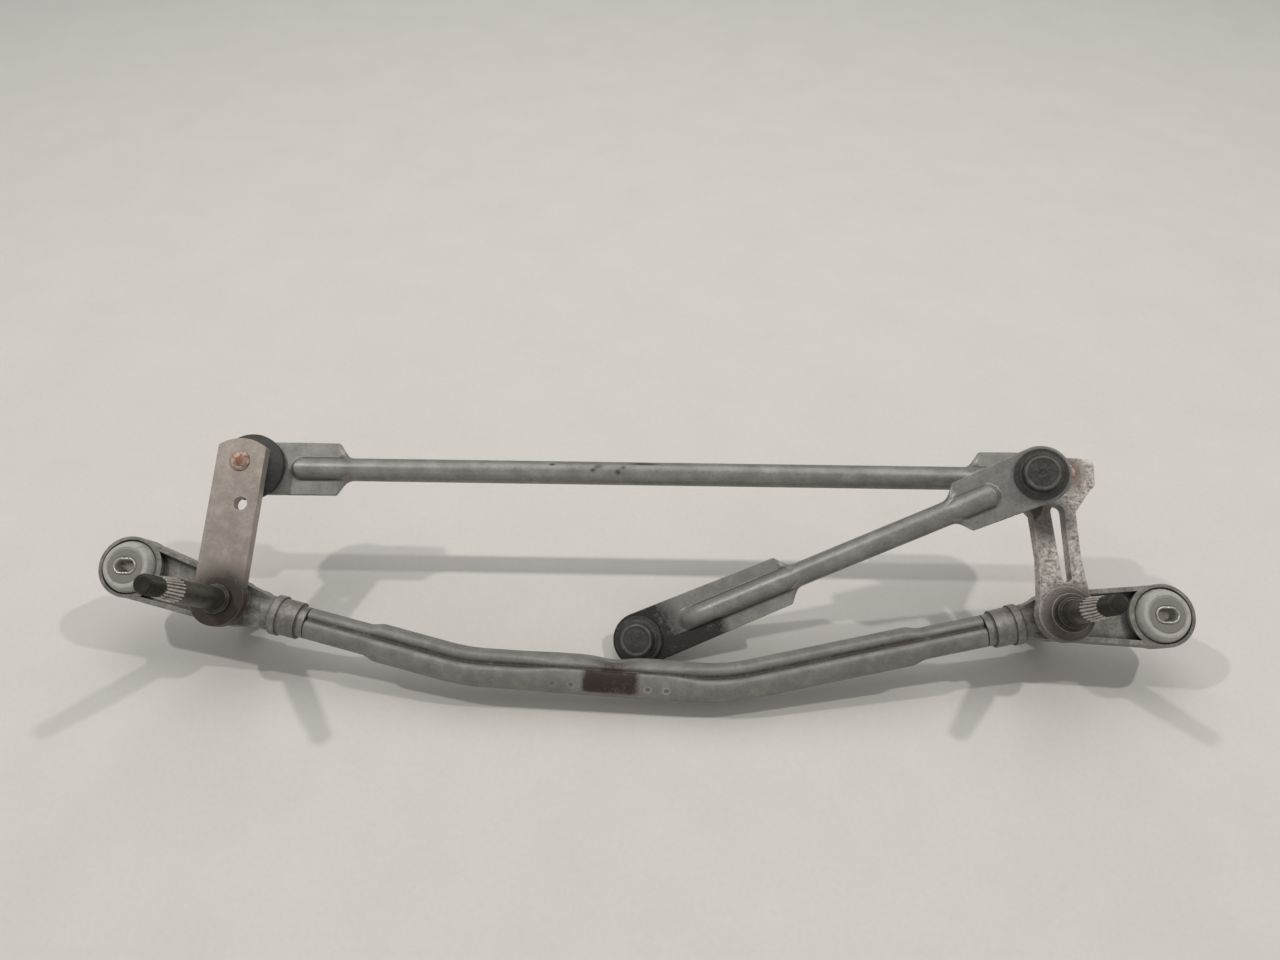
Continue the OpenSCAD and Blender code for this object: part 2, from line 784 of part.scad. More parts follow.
// Outline of a flat rod head from its ball to the start of the tube
module head_outline(head_len, shoulder_w) {
    s = [head_len, shoulder_w / 2];
    a = atan2(s.y, s.x) + acos(head_d / 2 / norm(s));
    t = (head_d / 2 - tangent_dip) * unit(a);
    difference() {
        union() {
            circle(d = head_d);
            polygon([
                t, s, [head_len + shoulder_run, rod_d / 2 - 0.2], [head_len + shoulder_run, 0.2 - rod_d / 2],
                [s.x, -s.y], [t.x, -t.y]]);
        }
        circle(r = cup_d / 2 + snap_clear);
    }
}

// Round bar with a steep cone at each end, from one nose to the other
module bead_core(r, x0, x1) {
    translate([x0, 0, 0])
        rotate([0, 90, 0]) {
            cylinder(r1 = r * nose_share, r2 = r, h = nose_len);
            translate([0, 0, nose_len])
                cylinder(r = r, h = x1 - x0 - 2 * nose_len);
            translate([0, 0, x1 - x0 - nose_len])
                cylinder(r1 = r, r2 = r * nose_share, h = nose_len);
        }
}

// Sheet rolled to a tube, with two flat heads stiffened by its open bead
module rod_shape(rod_len, head_a, head_b, shoulder_w) {
    wall = sheet_t * 0.75;
    tube_a = head_a + shoulder_run - 2;
    tube_b = rod_len - head_b - shoulder_run + 2;
    difference() {
        union() {
            translate([0, 0, -sheet_t / 2]) {
                linear_extrude(sheet_t)
                    head_outline(head_a, shoulder_w);
                translate([rod_len, 0, 0])
                    mirror([1, 0, 0])
                        linear_extrude(sheet_t)
                            head_outline(head_b, shoulder_w);
            }
            difference() {
                bead_core(rod_d / 2, nose_x, rod_len - nose_x);
                translate([0, -rod_d, -rod_d - sheet_t / 2 + eps])
                    cube([tube_a, 2 * rod_d, rod_d]);
                translate([tube_b, -rod_d, -rod_d - sheet_t / 2 + eps])
                    cube([rod_len - tube_b, 2 * rod_d, rod_d]);
            }
        }
        bead_core(rod_d / 2 - wall, nose_x + wall, rod_len - nose_x - wall);
    }
}

module tie_rod() {
    color("silver")
        on_table()
            at(left_pivot + crank_vec, tie_z)
                rod_shape(pivot_span, tie_left_head, tie_right_head, tie_shoulder_w);
}

// Drive rod frame: ball of the free end at the origin, rod along X
module on_drive() {
    on_table()
        translate(free_ball)
            rotate([0, -drive_slope, drive_turn])
                children();
}

module drive_rod() {
    color("silver")
        on_drive()
            rod_shape(drive_len, drive_free_head, drive_crank_head, drive_shoulder_w);
}

// Plastic ball socket: mouth down, closed cap up, snapped into a rod head
module socket_shape() {
    cup_r = cup_d / 2;
    half_t = sheet_t / 2;
    difference() {
        rotate_extrude()
            polygon([
                [0, -mouth_z], [cup_r - 1, -mouth_z], [lip_r, -mouth_z + 1.2], [lip_r, -half_t], [cup_r, -half_t],
                [cup_r, half_t], [flange_d / 2, half_t], [flange_d / 2, flange_top - 1],
                [flange_d / 2 - 1, flange_top], [cup_r + 0.6, flange_top], [cup_r - 0.4, flange_top + 1],
                [cap_d / 2, cap_top - 1.4], [cap_d / 2 - 1.4, cap_top], [1.6, cap_top], [1.2, cap_top - 0.7],
                [0, cap_top - 0.7]]);
        sphere(r = ball_r + ball_clear);
        translate([0, 0, -mouth_z - 1])
            cylinder(r = mouth_r, h = mouth_z + 1);
        translate([0, 0, -mouth_z - eps])
            cylinder(r1 = mouth_r + 1.2, r2 = mouth_r, h = 1.2);
    }
}

module tie_left_socket() {
    color("black")
        on_table()
            at(left_pivot + crank_vec, tie_z)
                mirror([0, 0, 1])
                    socket_shape();
}

module tie_right_socket() {
    color("black")
        on_table()
            at(right_pivot + crank_vec, tie_z)
                mirror([0, 0, 1])
                    socket_shape();
}

module drive_free_socket() {
    color("black")
        on_drive()
            socket_shape();
}

module drive_crank_socket() {
    color("black")
        on_drive()
            translate([drive_len, 0, 0])
                socket_shape();
}

// Rubber boot between a rod head and its crank, seen with the crank up
module boot_shape(boot_d, hole_r) {
    r = boot_d / 2;
    foot_r = lip_r + 0.1;
    wall_r = max(r - 1.6, foot_r + 0.1);
    foot_z = sheet_t / 2;
    rotate_extrude()
        polygon([
            [foot_r, foot_z], [r - 0.8, foot_z], [r, foot_z + 0.9], [r, boot_rim + 1.2],
            [(r + hole_r + 2.7) / 2, 7.6], [hole_r + 2.7, boot_top - 0.2], [hole_r, boot_top],
            [hole_r, boot_top - 1.2], [hole_r + 2.1, boot_top - 1.3], [(r + hole_r + 1.5) / 2 - 0.2, 6.6],
            [wall_r, boot_rim + 0.6], [wall_r, foot_z + 1.3], [foot_r, foot_z + 1.3]]);
}

module tie_left_boot() {
    color("black")
        on_table()
            at(left_pivot + crank_vec, tie_z)
                boot_shape(wide_boot_d, tie_hole_r);
}

module tie_right_boot() {
    color("black")
        on_table()
            at(right_pivot + crank_vec, tie_z)
                boot_shape(narrow_boot_d, tie_hole_r);
}

module drive_crank_boot() {
    color("black")
        on_drive()
            translate([drive_len, 0, 0])
                mirror([0, 0, 1])
                    boot_shape(narrow_boot_d, drive_hole_r);
}

frame_tube();
left_housing();
right_housing();
left_upper_bush();
left_lower_bush();
right_upper_bush();
right_lower_bush();
left_seal();
right_seal();
left_grommet();
right_grommet();
left_grommet_sleeve();
right_grommet_sleeve();
left_shaft();
left_crank_plate();
left_ball_stud();
left_washer();
left_circlip();
right_shaft();
right_crank_arm();
right_tie_stud();
right_drive_stud();
right_washer();
right_circlip();
tie_rod();
tie_left_socket();
tie_right_socket();
tie_left_boot();
tie_right_boot();
drive_rod();
drive_crank_socket();
drive_free_socket();
drive_crank_boot();
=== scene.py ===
# %% [markdown]
# # A worn wiper linkage on a pale table
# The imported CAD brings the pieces, their places and their joints. This lesson gives each piece its
# real surface: the pressed tube, the rolled rods, the threaded shafts, rubber, cast and plated metal.
# Everything below is worked out in millimetres in the linkage's own axes and then laid on the table.

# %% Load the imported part
import json
import bpy
import numpy as np
from mathutils import Matrix


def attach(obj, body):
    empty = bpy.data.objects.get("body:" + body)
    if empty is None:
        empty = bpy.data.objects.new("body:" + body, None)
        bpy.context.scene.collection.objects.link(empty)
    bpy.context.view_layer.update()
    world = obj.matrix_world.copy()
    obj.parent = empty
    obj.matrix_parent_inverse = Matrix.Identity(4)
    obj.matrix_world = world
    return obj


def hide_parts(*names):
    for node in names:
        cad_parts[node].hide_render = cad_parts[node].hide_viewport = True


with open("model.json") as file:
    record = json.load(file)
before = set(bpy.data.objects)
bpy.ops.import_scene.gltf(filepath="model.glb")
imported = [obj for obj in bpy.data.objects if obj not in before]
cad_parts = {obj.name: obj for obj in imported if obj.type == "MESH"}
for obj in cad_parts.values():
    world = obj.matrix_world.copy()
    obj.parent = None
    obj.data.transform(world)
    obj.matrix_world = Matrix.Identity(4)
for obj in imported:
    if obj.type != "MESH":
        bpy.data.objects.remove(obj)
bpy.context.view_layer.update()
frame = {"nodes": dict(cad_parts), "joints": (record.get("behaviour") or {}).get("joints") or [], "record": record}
nodes = frame["nodes"]
joints = {j["name"]: j for j in frame["joints"]}
mounts = {m["name"]: m for m in frame["record"]["mounts"]}

# %% [markdown]
# ## Axes
# The linkage leans on the table, so its parts are easier to describe in axes of its own: X along
# the two pivots, Z along the shafts. Each object could be drawn level and then turned. Here the points
# are turned instead, so every object stays at the origin and all pieces share their Object coordinates.
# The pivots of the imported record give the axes, and the balls at the ends of the drive rod give a
# second set for that sloping rod.

# %% Axes of the linkage and of the drive rod
def unit(v):
    """v / |v|"""
    v = np.asarray(v, float)
    return v / np.linalg.norm(v)


def axes(origin, x, z):
    """Origin in metres and the three unit rows x, z × x, z."""
    x, z = unit(x), unit(z)
    return np.asarray(origin, float), np.array([x, np.cross(z, x), z])


def place(points, where):
    """Point in the shared frame = origin + (x X + y Y + z Z) / 1000, from millimetres to metres."""
    origin, rows = where
    return origin + np.asarray(points, float) @ rows / 1000


left_pivot = np.array(joints["left_pivot"]["pos_m"])
right_pivot = np.array(joints["right_pivot"]["pos_m"])
LINK = axes((left_pivot + right_pivot) / 2, right_pivot - left_pivot, joints["right_pivot"]["axis"])
free_ball = np.array(mounts["motor_ball_socket"]["pos_m"])
crank_ball = np.array(joints["drive_rod_ball"]["pos_m"])
DRIVE = axes(free_ball, crank_ball - free_ball, -np.array(mounts["motor_ball_socket"]["axis"]))
SPAN = 1000 * np.linalg.norm(right_pivot - left_pivot)
DRIVE_LEN = 1000 * np.linalg.norm(crank_ball - free_ball)
print("pivots", round(SPAN, 1), "mm apart, drive rod", round(DRIVE_LEN, 1), "mm long")

# %% [markdown]
# ## Colours and nodes
# A material is a tree of nodes. They could be laid by hand in the Shader Editor, but all finishes of
# the linkage follow one recipe, so one function adds a node with its settings and links. Colours are
# sRGB hex turned linear, and pattern sizes are millimetres on Object coordinates.

# %% Colour and node helpers
def linear(code):
    """sRGB hex to linear RGBA: c / 12.92 below 0.04045, else ((c + 0.055) / 1.055) ^ 2.4"""
    c = np.array([int(code[i:i + 2], 16) for i in (1, 3, 5)]) / 255
    c = np.where(c <= 0.04045, c / 12.92, ((c + 0.055) / 1.055) ** 2.4)
    return (*c.tolist(), 1.0)


def add(tree, kind, links=None, values=None, **settings):
    """One shader node: settings are its properties, values its sockets, links come from other sockets."""
    node = tree.nodes.new(kind)
    for key, value in settings.items():
        setattr(node, key, value)
    for key, value in (values or {}).items():
        node.inputs[key].default_value = value
    for key, value in (links or {}).items():
        tree.links.new(value, node.inputs[key])
    return node


def per_mm(size):
    """Noise scale whose features are size millimetres wide on coordinates in metres."""
    return 1000 / size


print("mid grey is", round(linear("#808080")[0], 3), "in linear light")

# %% [markdown]
# ## Stains and painted light
# Oil, rust and dirt lie over the metal, and painted shade, shadows and highlights lie over it too. A
# picture of them could be laid on, but it would stretch round the bends. Here each mixes one more colour
# over the last, where a mark is painted on the points or where a point is near, and noise tears its edge.

# %% Stains and painted light over a colour
MARK_FROM, MARK_TO, RAGGED_MARK, RAGGED_SPOT = 0.15, 0.85, 4.0, 1.5


def stained_and_shaded(tree, spot, mean, colour, stain_and_shade):
    """Overlay (where, hex, strength) of a real mark or of painted shade, shadow or highlight: its share is
    the mask m (1 + k (mean - 1/2)), cut to a ragged edge. The mask is a painted mark, or falls from 1 to 0
    between two radii in mm round a point."""
    where, code, strength = stain_and_shade
    if isinstance(where, str):
        ragged = RAGGED_MARK
        mask = add(tree, "ShaderNodeAttribute", attribute_name=where).outputs["Fac"]
    else:
        ragged = RAGGED_SPOT
        point, inner, outer = where
        gap = add(tree, "ShaderNodeVectorMath", {0: spot}, {1: tuple(point)}, operation="DISTANCE")
        mask = add(tree, "ShaderNodeMapRange", {"Value": gap.outputs["Value"]},
                   {"From Min": outer / 1000, "From Max": inner / 1000}).outputs["Result"]
    noise = add(tree, "ShaderNodeMath", {0: mean}, {1: ragged, 2: -ragged / 2}, operation="MULTIPLY_ADD")
    broken = add(tree, "ShaderNodeMath", {0: noise.outputs["Value"], 1: mask, 2: mask},
                 operation="MULTIPLY_ADD")
    share = add(tree, "ShaderNodeMapRange", {"Value": broken.outputs["Value"]},
                {"From Min": MARK_FROM, "From Max": MARK_TO, "To Max": strength})
    return add(tree, "ShaderNodeMix", {0: share.outputs["Result"], 6: colour}, {7: linear(code)},
               data_type="RGBA").outputs[2]


print("a stain starts where its torn mask passes", MARK_FROM)

# %% [markdown]
# ## Painted shade in corners, and rubbed edges
# Corners are darkened by painted shade, and handling rubs edges bright. Both could be painted by hand,
# but the shape tells where they are: a corner sees little of the sky, and at an edge the rounded normal
# leaves the true one.

# %% Painted shade in corners, and rubbed edges
OPEN_SKY, DEEP_CORNER, CORNER_SHADE, CORNER_SHADE_BROWN = 0.92, 0.45, 0.85, "#241f1a"
FLAT_FACE, SHARP_EDGE, RUBBED, SAMPLES = 0.99, 0.8, 0.55, 6


def corner_shaded(tree, colour, deep_mm):
    """Painted shade where a corner that is deep_mm deep sees little of the sky."""
    sky = add(tree, "ShaderNodeAmbientOcclusion", values={"Distance": deep_mm / 1000},
              samples=SAMPLES, only_local=True)
    share = add(tree, "ShaderNodeMapRange", {"Value": sky.outputs["AO"]},
                {"From Min": OPEN_SKY, "From Max": DEEP_CORNER, "To Max": CORNER_SHADE})
    return add(tree, "ShaderNodeMix", {0: share.outputs["Result"], 6: colour}, {7: linear(CORNER_SHADE_BROWN)},
               data_type="RGBA").outputs[2]


def edged(tree, colour, bump, edge_mm, bright):
    """Edges shaded as if edge_mm round, and bright where that rounded normal leaves the true one."""
    soft = add(tree, "ShaderNodeBevel", values={"Radius": edge_mm / 1000}, samples=SAMPLES).outputs["Normal"]
    tree.links.new(soft, bump.inputs["Normal"])
    true = add(tree, "ShaderNodeNewGeometry").outputs["Normal"]
    same = add(tree, "ShaderNodeVectorMath", {0: soft, 1: true}, operation="DOT_PRODUCT")
    share = add(tree, "ShaderNodeMapRange", {"Value": same.outputs["Value"]},
                {"From Min": FLAT_FACE, "From Max": SHARP_EDGE, "To Max": RUBBED})
    return add(tree, "ShaderNodeMix", {0: share.outputs["Result"], 6: colour}, {7: linear(bright)},
               data_type="RGBA").outputs[2]


# The share printed for a corner is painted shade, and the share printed for an edge is wear.
print("corner_shade covers up to", round(100 * CORNER_SHADE), "% of a corner, wear", round(100 * RUBBED), "% of an edge")

# %% [markdown]
# ## A worn surface
# Nothing on this linkage is one clean colour: metal dulls in patches and is pitted. Two noises, one
# wide and one fine, mix three tones, move the roughness and raise the surface a little. They sit on
# Object coordinates, so the pattern runs through a piece like the grain of wood. The real grain is
# about 0.2 mm, too fine to show in the render, so it is drawn 1 to 2 mm wide.

# %% The recipe of all finishes
TONE_STOPS, PIT_FROM, PIT_TO, PIT_BROWN = (0.36, 0.5, 0.64), 0.58, 0.72, "#2a2621"
PATCH_DETAIL, PATCH_ROUGH, GRAIN_DETAIL, GRAIN_ROUGH = 6.0, 0.6, 4.0, 0.7
GRAIN_LOW, GRAIN_HIGH = 0.3, 0.7


def worn(name, tones, patch_mm, grain_mm, metallic, rough, bump_mm,
         stains_and_shades=(), edge_mm=0, pits=0.0, dirt_mm=0):
    """Worn surface: patches of three tones under a finer grain, dark pits where the grain is high, then
    overlays of real marks and of painted shade, shadows and highlights. With a corner depth, corners that
    deep get painted shade, and with edge_mm, sharp edges look rounded."""
    mat = bpy.data.materials.new(name)
    mat.use_nodes = True
    tree = mat.node_tree
    tree.nodes.clear()
    spot = add(tree, "ShaderNodeTexCoord").outputs["Object"]
    patch = add(tree, "ShaderNodeTexNoise", {"Vector": spot},
                {"Scale": per_mm(patch_mm), "Detail": PATCH_DETAIL, "Roughness": PATCH_ROUGH}).outputs["Fac"]
    grain = add(tree, "ShaderNodeTexNoise", {"Vector": spot},
                {"Scale": per_mm(grain_mm), "Detail": GRAIN_DETAIL, "Roughness": GRAIN_ROUGH}).outputs["Fac"]
    both = add(tree, "ShaderNodeMath", {0: patch, 1: grain}, operation="ADD").outputs["Value"]
    mean = add(tree, "ShaderNodeMath", {0: both}, {1: 0.5}, operation="MULTIPLY").outputs["Value"]
    tone = add(tree, "ShaderNodeValToRGB", {"Fac": mean})
    tone.color_ramp.elements.new(0.5)
    for element, at, code in zip(tone.color_ramp.elements, TONE_STOPS, tones):
        element.position = at
        element.color = linear(code)
    pit = add(tree, "ShaderNodeMapRange", {"Value": grain},
              {"From Min": PIT_FROM, "From Max": PIT_TO, "To Max": pits}).outputs["Result"]
    colour = add(tree, "ShaderNodeMix", {0: pit, 6: tone.outputs["Color"]}, {7: linear(PIT_BROWN)},
                 data_type="RGBA").outputs[2]
    # Real stains, and painted shade, shadows and highlights, one over another.
    for stain_and_shade in stains_and_shades:
        colour = stained_and_shaded(tree, spot, mean, colour, stain_and_shade)
    # Painted shade in corners that are this deep.
    if dirt_mm:
        colour = corner_shaded(tree, colour, dirt_mm)
    rough_map = add(tree, "ShaderNodeMapRange", {"Value": grain},
                    {"From Min": GRAIN_LOW, "From Max": GRAIN_HIGH, "To Min": rough[0], "To Max": rough[1]})
    bump = add(tree, "ShaderNodeBump", {"Height": mean}, {"Strength": 1.0, "Distance": bump_mm / 1000})
    if edge_mm:
        colour = edged(tree, colour, bump, edge_mm, tones[2])
    shader = add(tree, "ShaderNodeBsdfPrincipled",
                 {"Base Color": colour, "Roughness": rough_map.outputs["Result"],
                  "Normal": bump.outputs["Normal"]}, {"Metallic": metallic})
    add(tree, "ShaderNodeOutputMaterial", {"Surface": shader.outputs["BSDF"]})
    return mat


print("a grain of 1.4 mm is a noise scale of", round(per_mm(1.4)))

# %% [markdown]
# ## Finishes of the frame
# The frame is plated pipe between two castings, with bushes and rubber in them. One grey could serve
# all the metal, but each way of making leaves its own shine and grain. The tube and the rubber are
# coloured by marks that the pieces carry, such as the groove: stains, and on the tube painted shade and
# painted highlights too.

# %% Finishes of the frame
MATS = {
    # Zinc plated pipe: a dull, even grey. Dirt and painted shade darken the groove and the dimples,
    # painted highlights ring the dimples, and rust lies where the clamp sat.
    "zinc_tube": worn(
        "zinc plated steel tube", ("#72706b", "#83817b", "#96948e"), patch_mm=9, grain_mm=1.4,
        metallic=0.4, rough=(0.46, 0.66), bump_mm=0.08, pits=0.55,
        stains_and_shades=[("groove", "#423a34", 0.92), ("rub", "#b9b7b0", 0.5), ("rust", "#35271f", 0.96)]),
    # Die cast zinc: a slightly glossy skin with pores, painted shade in the pockets and bright rims.
    "die_casting": worn(
        "zinc die casting", ("#625e58", "#7e7a74", "#9f9b95"), patch_mm=6, grain_mm=1.4,
        metallic=0.4, rough=(0.36, 0.6), bump_mm=0.1, edge_mm=0.5, pits=0.6, dirt_mm=5),
    # Sintered bronze: brown metal with an oily sheen.
    "bronze": worn(
        "sintered bronze", ("#6e5233", "#8a6a45", "#a07c52"), patch_mm=3, grain_mm=0.6,
        metallic=0.8, rough=(0.35, 0.5), bump_mm=0.02),
    # Moulded nylon: a flat, nearly black plastic.
    "dark_plastic": worn(
        "dark nylon", ("#2a2926", "#353430", "#403e3a"), patch_mm=6, grain_mm=1.0,
        metallic=0.0, rough=(0.45, 0.6), bump_mm=0.02),
    # Aged rubber: chalky and pale, palest on the outer ring, with painted shade in its corners.
    "grey_rubber": worn(
        "aged grey rubber", ("#75726b", "#918e87", "#aaa7a0"), patch_mm=4, grain_mm=1.1,
        metallic=0.0, rough=(0.6, 0.8), bump_mm=0.08, pits=0.5, dirt_mm=1.5,
        stains_and_shades=[("ring", "#b5b2ab", 0.75), ("disc", "#7a776f", 0.85)]),
    # Drawn steel: a bright lip that mirrors the lamps.
    "sleeve_metal": worn(
        "bright steel sleeve", ("#9a9791", "#bcb8b2", "#d2cec8"), patch_mm=3, grain_mm=0.8,
        metallic=0.7, rough=(0.25, 0.4), bump_mm=0.02),
}
print(len(MATS), "materials for the frame")

# %% [markdown]
# ## Finishes of the cranks and rods
# The cranks are stamped, cast and turned, and the rods are rolled from sheet. Grease creeps out at
# the rivets. Painted shadows darken the cranks round both shafts, with grease round the right one, and
# under the drive rod's head, with oil. So these finishes are stained and shaded round points there.
# A mark could do that too, but the cranks are CAD nodes, whose points carry none.

# %% Finishes of the cranks and rods
# Points round which the cranks are darkened: painted shadows of the two shafts, with grease at the right one, and
# a painted shadow with oil on the ribs under the drive rod's head.
LEFT_SEAT = place((-SPAN / 2 + 2, -4, 20), LINK)
RIGHT_SEAT = place((SPAN / 2 + 4, -4, 26), LINK)
LEFT_RIVET = place((-SPAN / 2 + 4.64, 75.9, 21.6), LINK)
RIGHT_RIVET = place((SPAN / 2 + 4.64, 75.9, 22.6), LINK)
RIB_TOP = place((SPAN / 2 - 7, 50, 22), LINK)
MATS.update({
    # Turned steel under old oil: almost black, with bare crests on the knurl.
    "shaft_steel": worn(
        "oiled dark steel", ("#322e27", "#46423a", "#5e594f"), patch_mm=5, grain_mm=1.1,
        metallic=0.55, rough=(0.28, 0.48), bump_mm=0.04,
        stains_and_shades=[("bare", "#d0cac3", 0.97), ("oil", "#24211c", 0.88)]),
    # Stamped plate with a yellow zinc coat: a warm grey, dark round the shaft with a painted shadow of it.
    "plate_steel": worn(
        "yellow zinc plated plate", ("#8b8178", "#9b9188", "#ada49b"), patch_mm=7, grain_mm=1.1,
        metallic=0.4, rough=(0.34, 0.52), bump_mm=0.03, edge_mm=0.4, pits=0.3,
        stains_and_shades=[((LEFT_SEAT, 12, 29), "#332a23", 0.93)]),
    # Riveted steel with a copper wash: reddish, and rough where the hammer split the coat, with painted shade in
    # its corners.
    "stud_steel": worn(
        "coppered rivet steel", ("#4a352a", "#a78d7d", "#d6c3b6"), patch_mm=3, grain_mm=1.8,
        metallic=0.5, rough=(0.35, 0.55), bump_mm=0.2, pits=0.8, dirt_mm=1.2,
        stains_and_shades=[((LEFT_RIVET, 0.8, 4.2), "#6e3c26", 0.85), ((RIGHT_RIVET, 0.8, 4.2), "#6e3c26", 0.85)]),
    # Blued spring steel: dark and smooth.
    "spring_steel": worn(
        "blued spring steel", ("#2c2d2f", "#3b3c3e", "#4b4b4b"), patch_mm=3, grain_mm=0.8,
        metallic=0.7, rough=(0.3, 0.45), bump_mm=0.02),
    # Sand cast iron: pale crests that sparkle over a pitted skin, brown where grease ran, painted shade in
    # the pockets, a painted shadow with grease round the shaft and a painted shadow with oil on the ribs.
    "crank_casting": worn(
        "sand cast iron", ("#6d665f", "#aca59e", "#dfd9d3"), patch_mm=3, grain_mm=1.5,
        metallic=0.4, rough=(0.34, 0.56), bump_mm=0.22, edge_mm=0.8, pits=0.75, dirt_mm=6,
        stains_and_shades=[((RIGHT_SEAT, 12, 26), "#332a23", 0.92), ((RIGHT_RIVET, 5, 14), "#5a4436", 0.7),
                ((RIB_TOP, 5, 19), "#2e2620", 0.85)]),
    # Rolled zinc plated sheet: smoother than the tube, with oil at the free end, chipped plating and
    # painted shade along the foot of the bead.
    "zinc_rod": worn(
        "zinc plated sheet steel", ("#777570", "#898782", "#9c9a94"), patch_mm=9, grain_mm=1.4,
        metallic=0.5, rough=(0.34, 0.54), bump_mm=0.06, pits=0.4,
        stains_and_shades=[("oil", "#2a2621", 0.95), ("seam", "#4f4a44", 0.75), ("chip", "#2b2824", 0.9)]),
    # Moulded acetal: black with a soft shine and a paler rim.
    "black_plastic": worn(
        "black acetal", ("#272622", "#373531", "#4d4a45"), patch_mm=5, grain_mm=1.1,
        metallic=0.0, rough=(0.32, 0.5), bump_mm=0.03, stains_and_shades=[("rim", "#75716a", 0.42)]),
    # Moulded rubber: black and dull.
    "black_rubber": worn(
        "black rubber", ("#242320", "#32312e", "#464541"), patch_mm=5, grain_mm=1.1,
        metallic=0.0, rough=(0.48, 0.68), bump_mm=0.05),
})
print(len(MATS), "materials in all")

# %% [markdown]
# ## CAD nodes
# Pieces that are cut from flat sheet or cast in simple shapes stay as the CAD made them. No real
# edge is perfectly sharp, so their materials round the edges in the shading. A Bevel modifier would
# change the CAD's mesh, which has to stay as it is.

# %% Dress the CAD nodes
def dress(obj, mat):
    """Gives an object one material."""
    obj.data.materials.clear()
    obj.data.materials.append(mat)


slot_of = {entry["node"]: entry["material_slot"] for entry in frame["record"]["subparts"]}
for name, obj in nodes.items():
    dress(obj, MATS[slot_of[name]])
print("dressed", len(nodes), "nodes")

# %% [markdown]
# ## Profiles and grids
# Every new piece is a grid of points: rows along a profile or a path, columns round a ring. Light
# catches on rounded edges, so the corners of a profile are rounded first. A Bevel modifier could do
# that later, but a profile has only a few corners, and each can have its own limit.

# %% Profile helpers
CORNER_SHARE, SUPPORT_SHARE, AXIS_R = 0.44, 0.03, 0.02


def ease(t):
    """3 u^2 - 2 u^3 with u = t held between 0 and 1"""
    u = np.clip(t, 0, 1)
    return u * u * (3 - 2 * u)


def bell(t):
    """exp(-t^2)"""
    return np.exp(-t ** 2)


def circle(count):
    """Equal angles round a full turn, without the last, which would repeat the first."""
    return np.linspace(0, 2 * np.pi, count, endpoint=False)


def rounded(points, radius, steps=5, closed=False):
    """Profile whose corners p become curves (1-t)^2 a + 2 t (1-t) p + t^2 b, with a and b at most radius
    away. A point just before and after each curve keeps the straight stretches flat when shaded smooth."""
    points = np.asarray(points, float)
    if closed:
        points = np.concatenate([points[-1:], points, points[:1]])
    t = np.linspace(0, 1, steps)[:, None]
    made = [points[:1]]
    for before, corner, after in zip(points[:-2], points[1:-1], points[2:]):
        back, on = before - corner, after - corner
        a = corner + unit(back) * min(radius, CORNER_SHARE * np.linalg.norm(back))
        b = corner + unit(on) * min(radius, CORNER_SHARE * np.linalg.norm(on))
        curve = (1 - t) ** 2 * a + 2 * t * (1 - t) * corner + t ** 2 * b
        made.append(np.concatenate([[a + SUPPORT_SHARE * back], curve, [b + SUPPORT_SHARE * on]]))
    made.append(points[-1:])
    return np.concatenate(made[1:-1] if closed else made)


def turned(profile, centre=(0, 0), count=72, turn=1):
    """Surface of revolution: (cx + r cos a, cy + r sin a, turn z) for the (r, z) points of a profile."""
    a = circle(count)
    r, z = np.asarray(profile, float).T
    r = np.maximum(r, AXIS_R)
    return np.stack([centre[0] + np.outer(r, np.cos(a)), centre[1] + np.outer(r, np.sin(a)),
                     np.repeat(turn * z[:, None], count, axis=1)], axis=-1)


print("a square corner becomes", len(rounded([(0, 0), (5, 0), (5, 5)], 1)) - 2, "points")

# %% [markdown]
# ## Faces of a grid
# Four neighbours in a grid make one face. Blender needs the corners of a face counter-clockwise as
# seen from outside. Recalculate Outside does that by hand in Edit Mode. Here the signed volume of the
# closed shell tells which way the faces run: where it is negative, they are inside out.

# %% Faces of a grid
def quads(rows, cols, closed):
    """Corner numbers of a grid's four-sided faces. Its columns close, and its rows close too if asked."""
    k = np.arange(rows * cols).reshape(rows, cols)
    below = np.roll(k, -1, axis=0)
    faces = np.stack([k, np.roll(k, -1, axis=1), np.roll(below, -1, axis=1), below], axis=-1)
    return (faces if closed else faces[:-1]).reshape(-1, 4)


def inside_out(points, faces):
    """True where the sum of p0 . (p1 × p2) over the triangles of each face's fan is negative."""
    fans = [np.stack([np.broadcast_to(f[:, :1], f[:, 2:].shape), f[:, 1:-1], f[:, 2:]], -1) for f in faces]
    tri = (points - points[0])[np.concatenate([fan.reshape(-1, 3) for fan in fans])]
    return np.einsum("ij,ij->i", tri[:, 0], np.cross(tri[:, 1], tri[:, 2])).sum() < 0


print("a tube of 3 rings of 8 has", len(quads(3, 8, False)), "faces and 2 caps")

# %% [markdown]
# ## From grid to mesh
# A piece is one or more grids, each with the marks that are painted on its points. A flat cap closes
# each open end. Points could be added one by one, but whole arrays go in much faster. The new piece
# then rides on a body of the linkage and takes the place of a CAD node.

# %% One mesh from its grids
def part(grid, closed=False, **marks):
    """A grid in mm with painted marks, each one value per point."""
    shape = grid.shape[:2]
    painted = {key: np.broadcast_to(np.asarray(value, float), shape) for key, value in marks.items()}
    return grid, closed, painted


